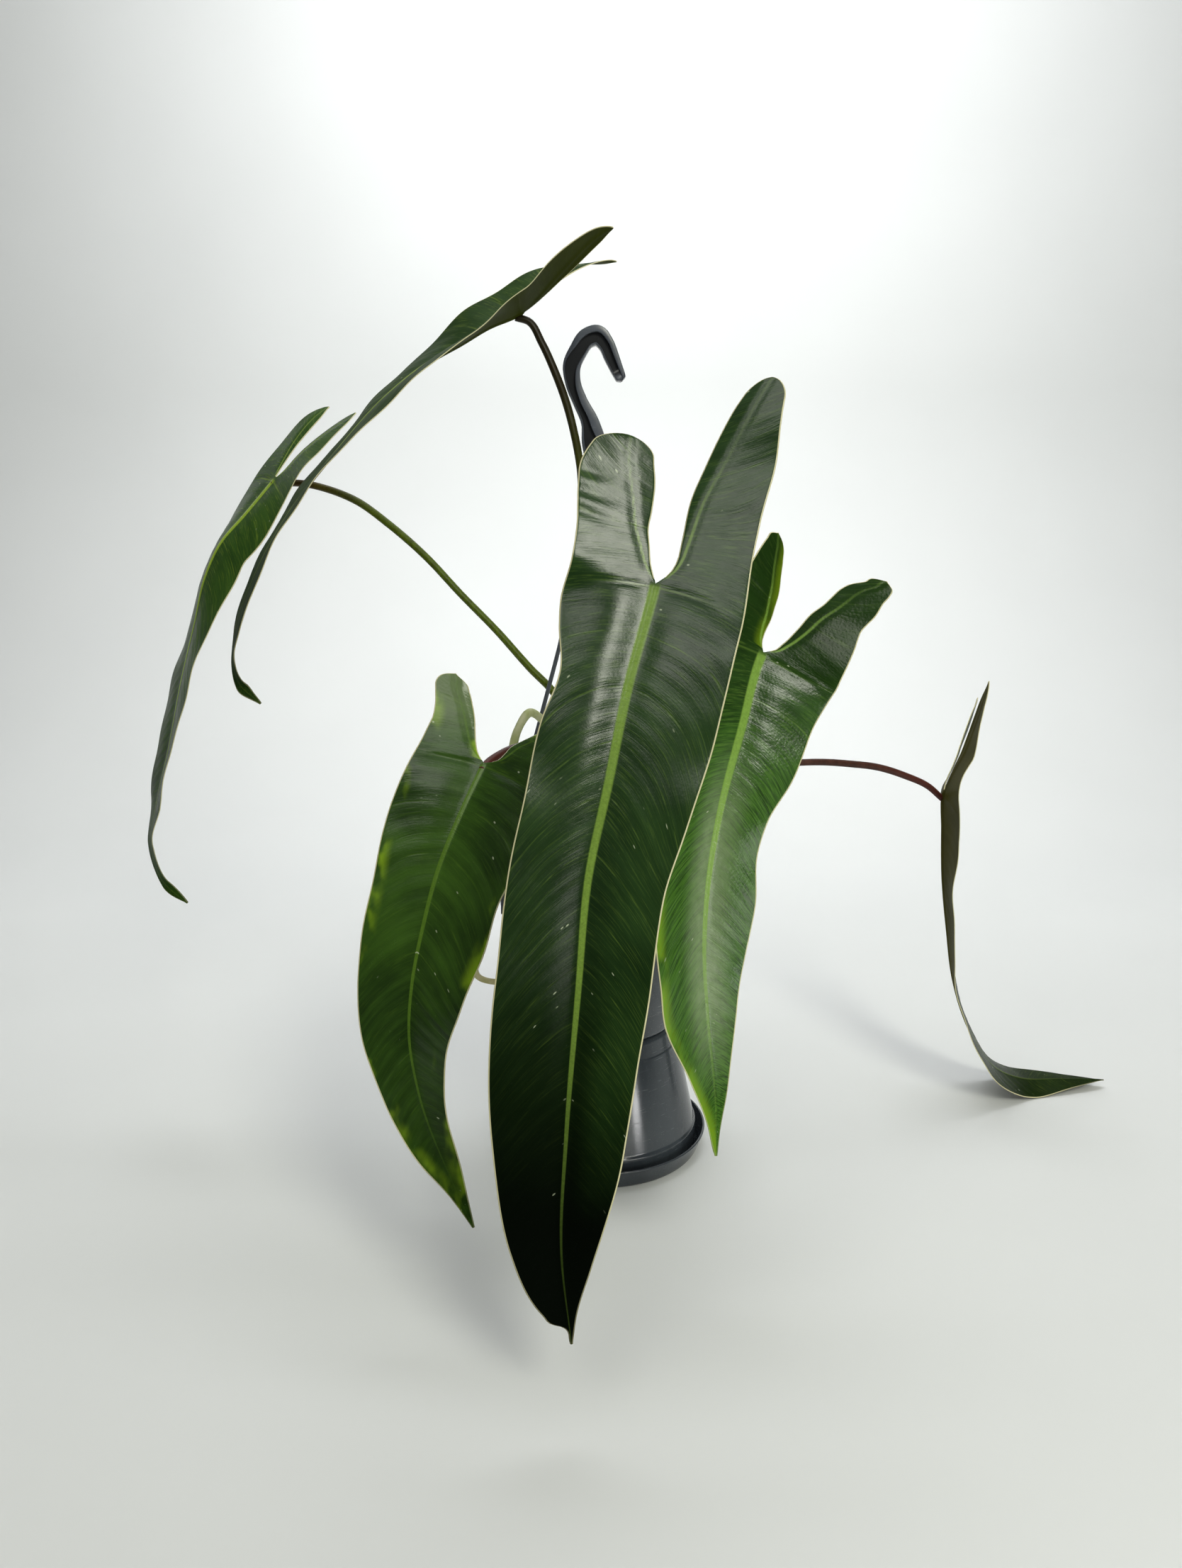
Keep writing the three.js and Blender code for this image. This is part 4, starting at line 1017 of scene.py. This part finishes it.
# %% [markdown]
# The hanger is one moulding: a hook with a sunken web between two flanges, which keeps it stiff with
# little plastic, a crown below it, and three slim arms that run down to clips over the pot's rim. Every
# part of it is a section carried along a line, so one helper makes the hook, the arms and the clips.

# %% Bands along a line
def band(line, sections):
    """A closed band. line gives x and z along it, and sections gives each place its outline as pairs of
    distance out from the line and distance along Y."""
    line = np.array(line, float)
    along = np.gradient(line, axis=0)
    along /= np.linalg.norm(along, axis=1, keepdims=True)
    out = np.stack([-along[:, 1], along[:, 0]], 1)
    rings = np.array([[(x + nx * n, y, z + nz * n) for n, y in outline]
                      for (x, z), (nx, nz), outline in zip(line, out, sections)])
    return rings.reshape(-1, 3), capped(*rings.shape[:2])


def sampled(points, count):
    """The smooth line through points, sampled evenly."""
    points = np.array(points, float)
    steps = np.concatenate([[0], np.cumsum(np.linalg.norm(np.diff(points[:, :2], axis=0), axis=1))])
    at = np.linspace(0, steps[-1], count)
    return np.stack([through(list(zip(steps, column)))(at) for column in points.T], 1)


def add_band(shape, points, faces, turn=0.0):
    c, s = math.cos(turn), math.sin(turn)
    corners = [shape.verts.new((x * c / 1000 - y * s / 1000, x * s / 1000 + y * c / 1000, z / 1000))
               for x, y, z in points]
    for face in faces:
        shape.faces.new([corners[i] for i in face])


# %% Hook
hook_line = [[-3, 404, 6.6], [-5.5, 416, 6.6], [-7.6, 426, 4.9], [-13, 437, 4.0], [-16.6, 446, 4.2],
             [-17.3, 455.5, 4.8], [-13.9, 463, 4.8], [-8.9, 469.5, 5], [-3.4, 470.8, 5],
             [1, 466.5, 4.3], [4, 460, 4], [7.4, 452.5, 3.3], [9.8, 447.6, 2.7]]
along_hook = sampled(hook_line, 110)


def channelled(half, sunk, outer, inner):
    """The hook's section, alike on both faces: a flange outer wide, a channel, a flange inner wide."""
    deep, web = 3.5, 3.5 - 2.7 * sunk
    right, left = half - outer, inner - half
    face = [(half, deep - 0.7), (half - 0.25, deep - 0.2), (half - 0.7, deep), (right + 0.3, deep),
            (right, deep - 0.3), (right - 0.3, web), (left + 0.3, web), (left, deep - 0.3),
            (left - 0.3, deep), (0.7 - half, deep), (0.25 - half, deep - 0.2), (-half, deep - 0.7)]
    return face + [(n, -y) for n, y in face[::-1]]


hook_share, half_at_top = np.linspace(0, 1, len(along_hook)), 4.8
hook_sections = []
for row, share in zip(along_hook, hook_share):
    sunk = soft_step(min(share, 1 - share) * len(along_hook), 1, 7)
    half = row[2] * dome(share, 0.04)
    outer = 1.0 + 2.4 * soft_step(share, 0.5, 0.68)
    inner = 2.8 + 2.2 * soft_step(share, 0.08, 0.22) - 4.0 * soft_step(share, 0.3, 0.62)
    hook_sections.append(channelled(half, sunk, outer * half / half_at_top, inner * half / half_at_top))
print("hook rings", len(along_hook))

# %% Arms, clips and crown
arm_line = [[5, 402, 2.2], [9, 390, 1.5], [15, 352, 1.2], [25, 304, 1.2], [32.5, 276, 1.2],
            [39.5, 250, 1.2], [50, 205, 1.2], [57.6, 170, 1.2], [59.1, 161, 1.2], [59.3, 147.1, 1.2]]


def strap(half_thick, half_wide, soft=0.45):
    """A flat bar's section with softened corners."""
    t, w, near = half_thick, half_wide, soft * 0.3
    return [(t, w - soft), (t - near, w - near), (t - soft, w), (soft - t, w), (near - t, w - near),
            (-t, w - soft), (-t, soft - w), (near - t, near - w), (soft - t, -w), (t - soft, -w),
            (t - near, near - w), (t, soft - w)]


clip_line = [[59.25, 146.4, 1.2], [59.25, 150, 1.2], [59.25, 156.4, 1.2], [58.9, 158.6, 1.1],
             [57.9, 159.75, 1.0], [56.2, 159.85, 1.0], [54.9, 159.4, 0.9], [54.2, 158.2, 0.8],
             [54.1, 156.4, 0.75], [54.1, 154.1, 0.75]]
shape = bmesh.new()
add_band(shape, *band(along_hook[:, :2], hook_sections))
for degrees in (180, 60, -60):
    for bar_line, rows, section in ((arm_line, 60, (2.5,)), (clip_line, 48, (4.5, 0.5))):
        bar = sampled(bar_line, rows)
        straps = [strap(thick, *section) for thick in bar[:, 2]]
        add_band(shape, *band(bar[:, :2], straps), math.radians(degrees))
crown = rounded([[0, 392], [8, 392], [9.5, 394], [9, 399], [6, 406], [3, 410], [0, 411]],
                0.8, 1, 1.5, 2, 1)
crown_middle, pinhole, around = -1, 0.02, 48
angle = np.linspace(0, 2 * np.pi, around, endpoint=False)
rings = [[(crown_middle + max(r, pinhole) * math.cos(a), max(r, pinhole) * math.sin(a), z) for a in angle]
         for r, z in crown]
add_band(shape, np.array(rings).reshape(-1, 3), capped(len(rings), around))
bmesh.ops.recalc_face_normals(shape, faces=shape.faces)
hanger = from_shape("hook_hanger", shape)
hanger.data.shade_smooth()
hanger.data.set_sharp_from_angle(angle=math.radians(34))
stands_for(hanger, "hanger_plastic", "hanger")
hanger_look = plastic_finish("hanger_plastic", tone(60, 65, 74), tone(84, 90, 100), 0.2, 5, paint_channel_shade=True)
hanger.data.materials.append(hanger_look)
print("hanger faces", len(hanger.data.polygons))

# %% [markdown]
# The pot is filled with a coarse mix: bark, husk chips and pale grit. The bed is a disc whose top rolls
# and dips, and the pieces lie on it at random but always the same way, because the dice are seeded. A
# chip is a lump cut by flat faces, so it is a random convex hull, stretched along one way.

# %% Bed of the mix
dice = np.random.default_rng(11)
top_z, bed_radius, pot_radius, scatter_radius, stem_room = 149.1, 52.9, 53, 51.0, 9


def bed_height(x, y):
    return top_z - 1.2 + 0.8 * np.sin(x / 7.0 + 1) * np.cos(y / 9.0) + 0.5 * np.sin(x / 3.1 - y / 4.2)


def bed(name, around=180):
    """The disc, with sides that follow the inside of the tapered wall, a little clear of it."""
    taper = 12.3 / 59.4
    angle = np.linspace(0, 2 * np.pi, around, endpoint=False)
    rings = []
    for r in np.linspace(pinhole, bed_radius, 56):
        x, y = r * np.cos(angle), r * np.sin(angle)
        rings.append(np.stack([x, y, bed_height(x, y)], -1))
    for level in (120.0, 85.0, 82.6):
        r = bed_radius - (148.0 - level) * taper
        rings.append(np.stack([r * np.cos(angle), r * np.sin(angle), 0 * angle + level], -1))
    piece = mesh_piece(name, np.concatenate(rings) / 1000, capped(len(rings), around))
    weld(piece)
    return piece


mix_bed = bed("mix_bed")
stands_for(mix_bed, "bark_mix", "substrate")
print("bed faces", len(mix_bed.data.polygons))

# %% Chips and grit
lump_points = 14


def lump(shape, at, size, turn, rough):
    """One chip: the hull of a few random points, stretched by size and turned."""
    cloud = dice.normal(size=(lump_points, 3))
    cloud /= np.linalg.norm(cloud, axis=1, keepdims=True)
    cloud *= 1 - rough * dice.random((lump_points, 1))
    spin = Matrix.Rotation(turn[2], 3, "Z")
    spin = spin @ Matrix.Rotation(turn[0], 3, "X") @ Matrix.Rotation(turn[1], 3, "Y")
    corners = [shape.verts.new((Vector(at) + spin @ Vector(c * np.array(size) / 2)) / 1000)
               for c in cloud]
    hull = bmesh.ops.convex_hull(shape, input=corners)
    loose = [e for e in hull["geom_interior"] + hull["geom_unused"] if isinstance(e, bmesh.types.BMVert)]
    bmesh.ops.delete(shape, geom=list(set(loose)), context="VERTS")


def laid(name, shape, width, segments, angle):
    """The lumps as one piece of the mix, with their edges softened."""
    piece = from_shape(name, shape)
    soften = piece.modifiers.new("edges", "BEVEL")
    soften.width, soften.segments, soften.limit_method = width, segments, "ANGLE"
    soften.angle_limit = math.radians(angle)
    settle(piece)
    piece.data.shade_smooth()
    stands_for(piece, "bark_mix", "substrate")
    return piece


def scatter(name, count, sizes, rough, rise):
    shape = bmesh.new()
    for _ in range(count):
        r, a = scatter_radius * math.sqrt(dice.random()), 2 * math.pi * dice.random()
        x, y = r * math.cos(a), r * math.sin(a)
        if math.hypot(x, y) < stem_room:
            continue
        size = sizes[0] + (sizes[1] - sizes[0]) * dice.random(3)
        size[2] *= 0.55
        if r + size[0] / 2 > pot_radius:
            continue
        turn = (0.5 * dice.normal(), 0.5 * dice.normal(), 2 * math.pi * dice.random())
        lump(shape, (x, y, bed_height(x, y) + rise * size[2] * 0.5), size, turn, rough)
    return laid(name, shape, 0.00025, 2, 25)


chips = scatter("bark_chips", 330, (5.5, 12.0), 0.35, 0.6)
grit = scatter("pale_grit", 260, (2.5, 4.5), 0.2, 1.2)
print("chip faces", len(chips.data.polygons), "grit faces", len(grit.data.polygons))

# %% [markdown]
# One large golden-brown chunk lies against the rim at the left and stands proud of it, where the picture
# shows it. Bark is layered, so its noise is stretched; grit is pale and porous.

# %% Finishes of the mix
shape = bmesh.new()
lump(shape, (-45, -10, 153.2), (15, 11, 10), (0.3, 0.2, 0.8), 0.15)
chunk = laid("proud_chunk", shape, 0.0007, 3, 30)


def bark_finish(name, body, light, size, seed, pits=0.5):
    finish = Finish(name, Specular_IOR_Level=0.3)
    layers = finish.grain(size, 4.0, 0.65, stretch=(1, 1, 2.6), seed=seed)
    blots = finish.grain(size * 5, 2.0, seed=seed + 1)
    pores = finish.cells("F1", finish.place(), 1400 / size)
    colour = finish.blend(blots.between(0.3, 0.7), body, light)
    colour = finish.blend(layers.between(0.55, 0.75) * 0.7, colour, scaled(body, 0.4))
    finish.varies(Base_Color=colour, Roughness=layers * 0.2 + 0.72,
                  Normal=finish.relief(layers + pores * pits, 0.5, 0.9))
    return finish.material


for piece, look in (
        (mix_bed, ("dark_mix", tone(58, 42, 30), tone(84, 62, 42), 2.0, 1)),
        (chips, ("bark", tone(86, 58, 38), tone(132, 94, 60), 1.2, 4)),
        (grit, ("grit", tone(170, 160, 142), tone(206, 200, 186), 0.8, 8, 1.0)),
        (chunk, ("golden_bark", tone(150, 102, 52), tone(186, 136, 76), 1.4, 9))):
    piece.data.materials.append(bark_finish(*look))
    print(piece.name, "has the finish", look[0])
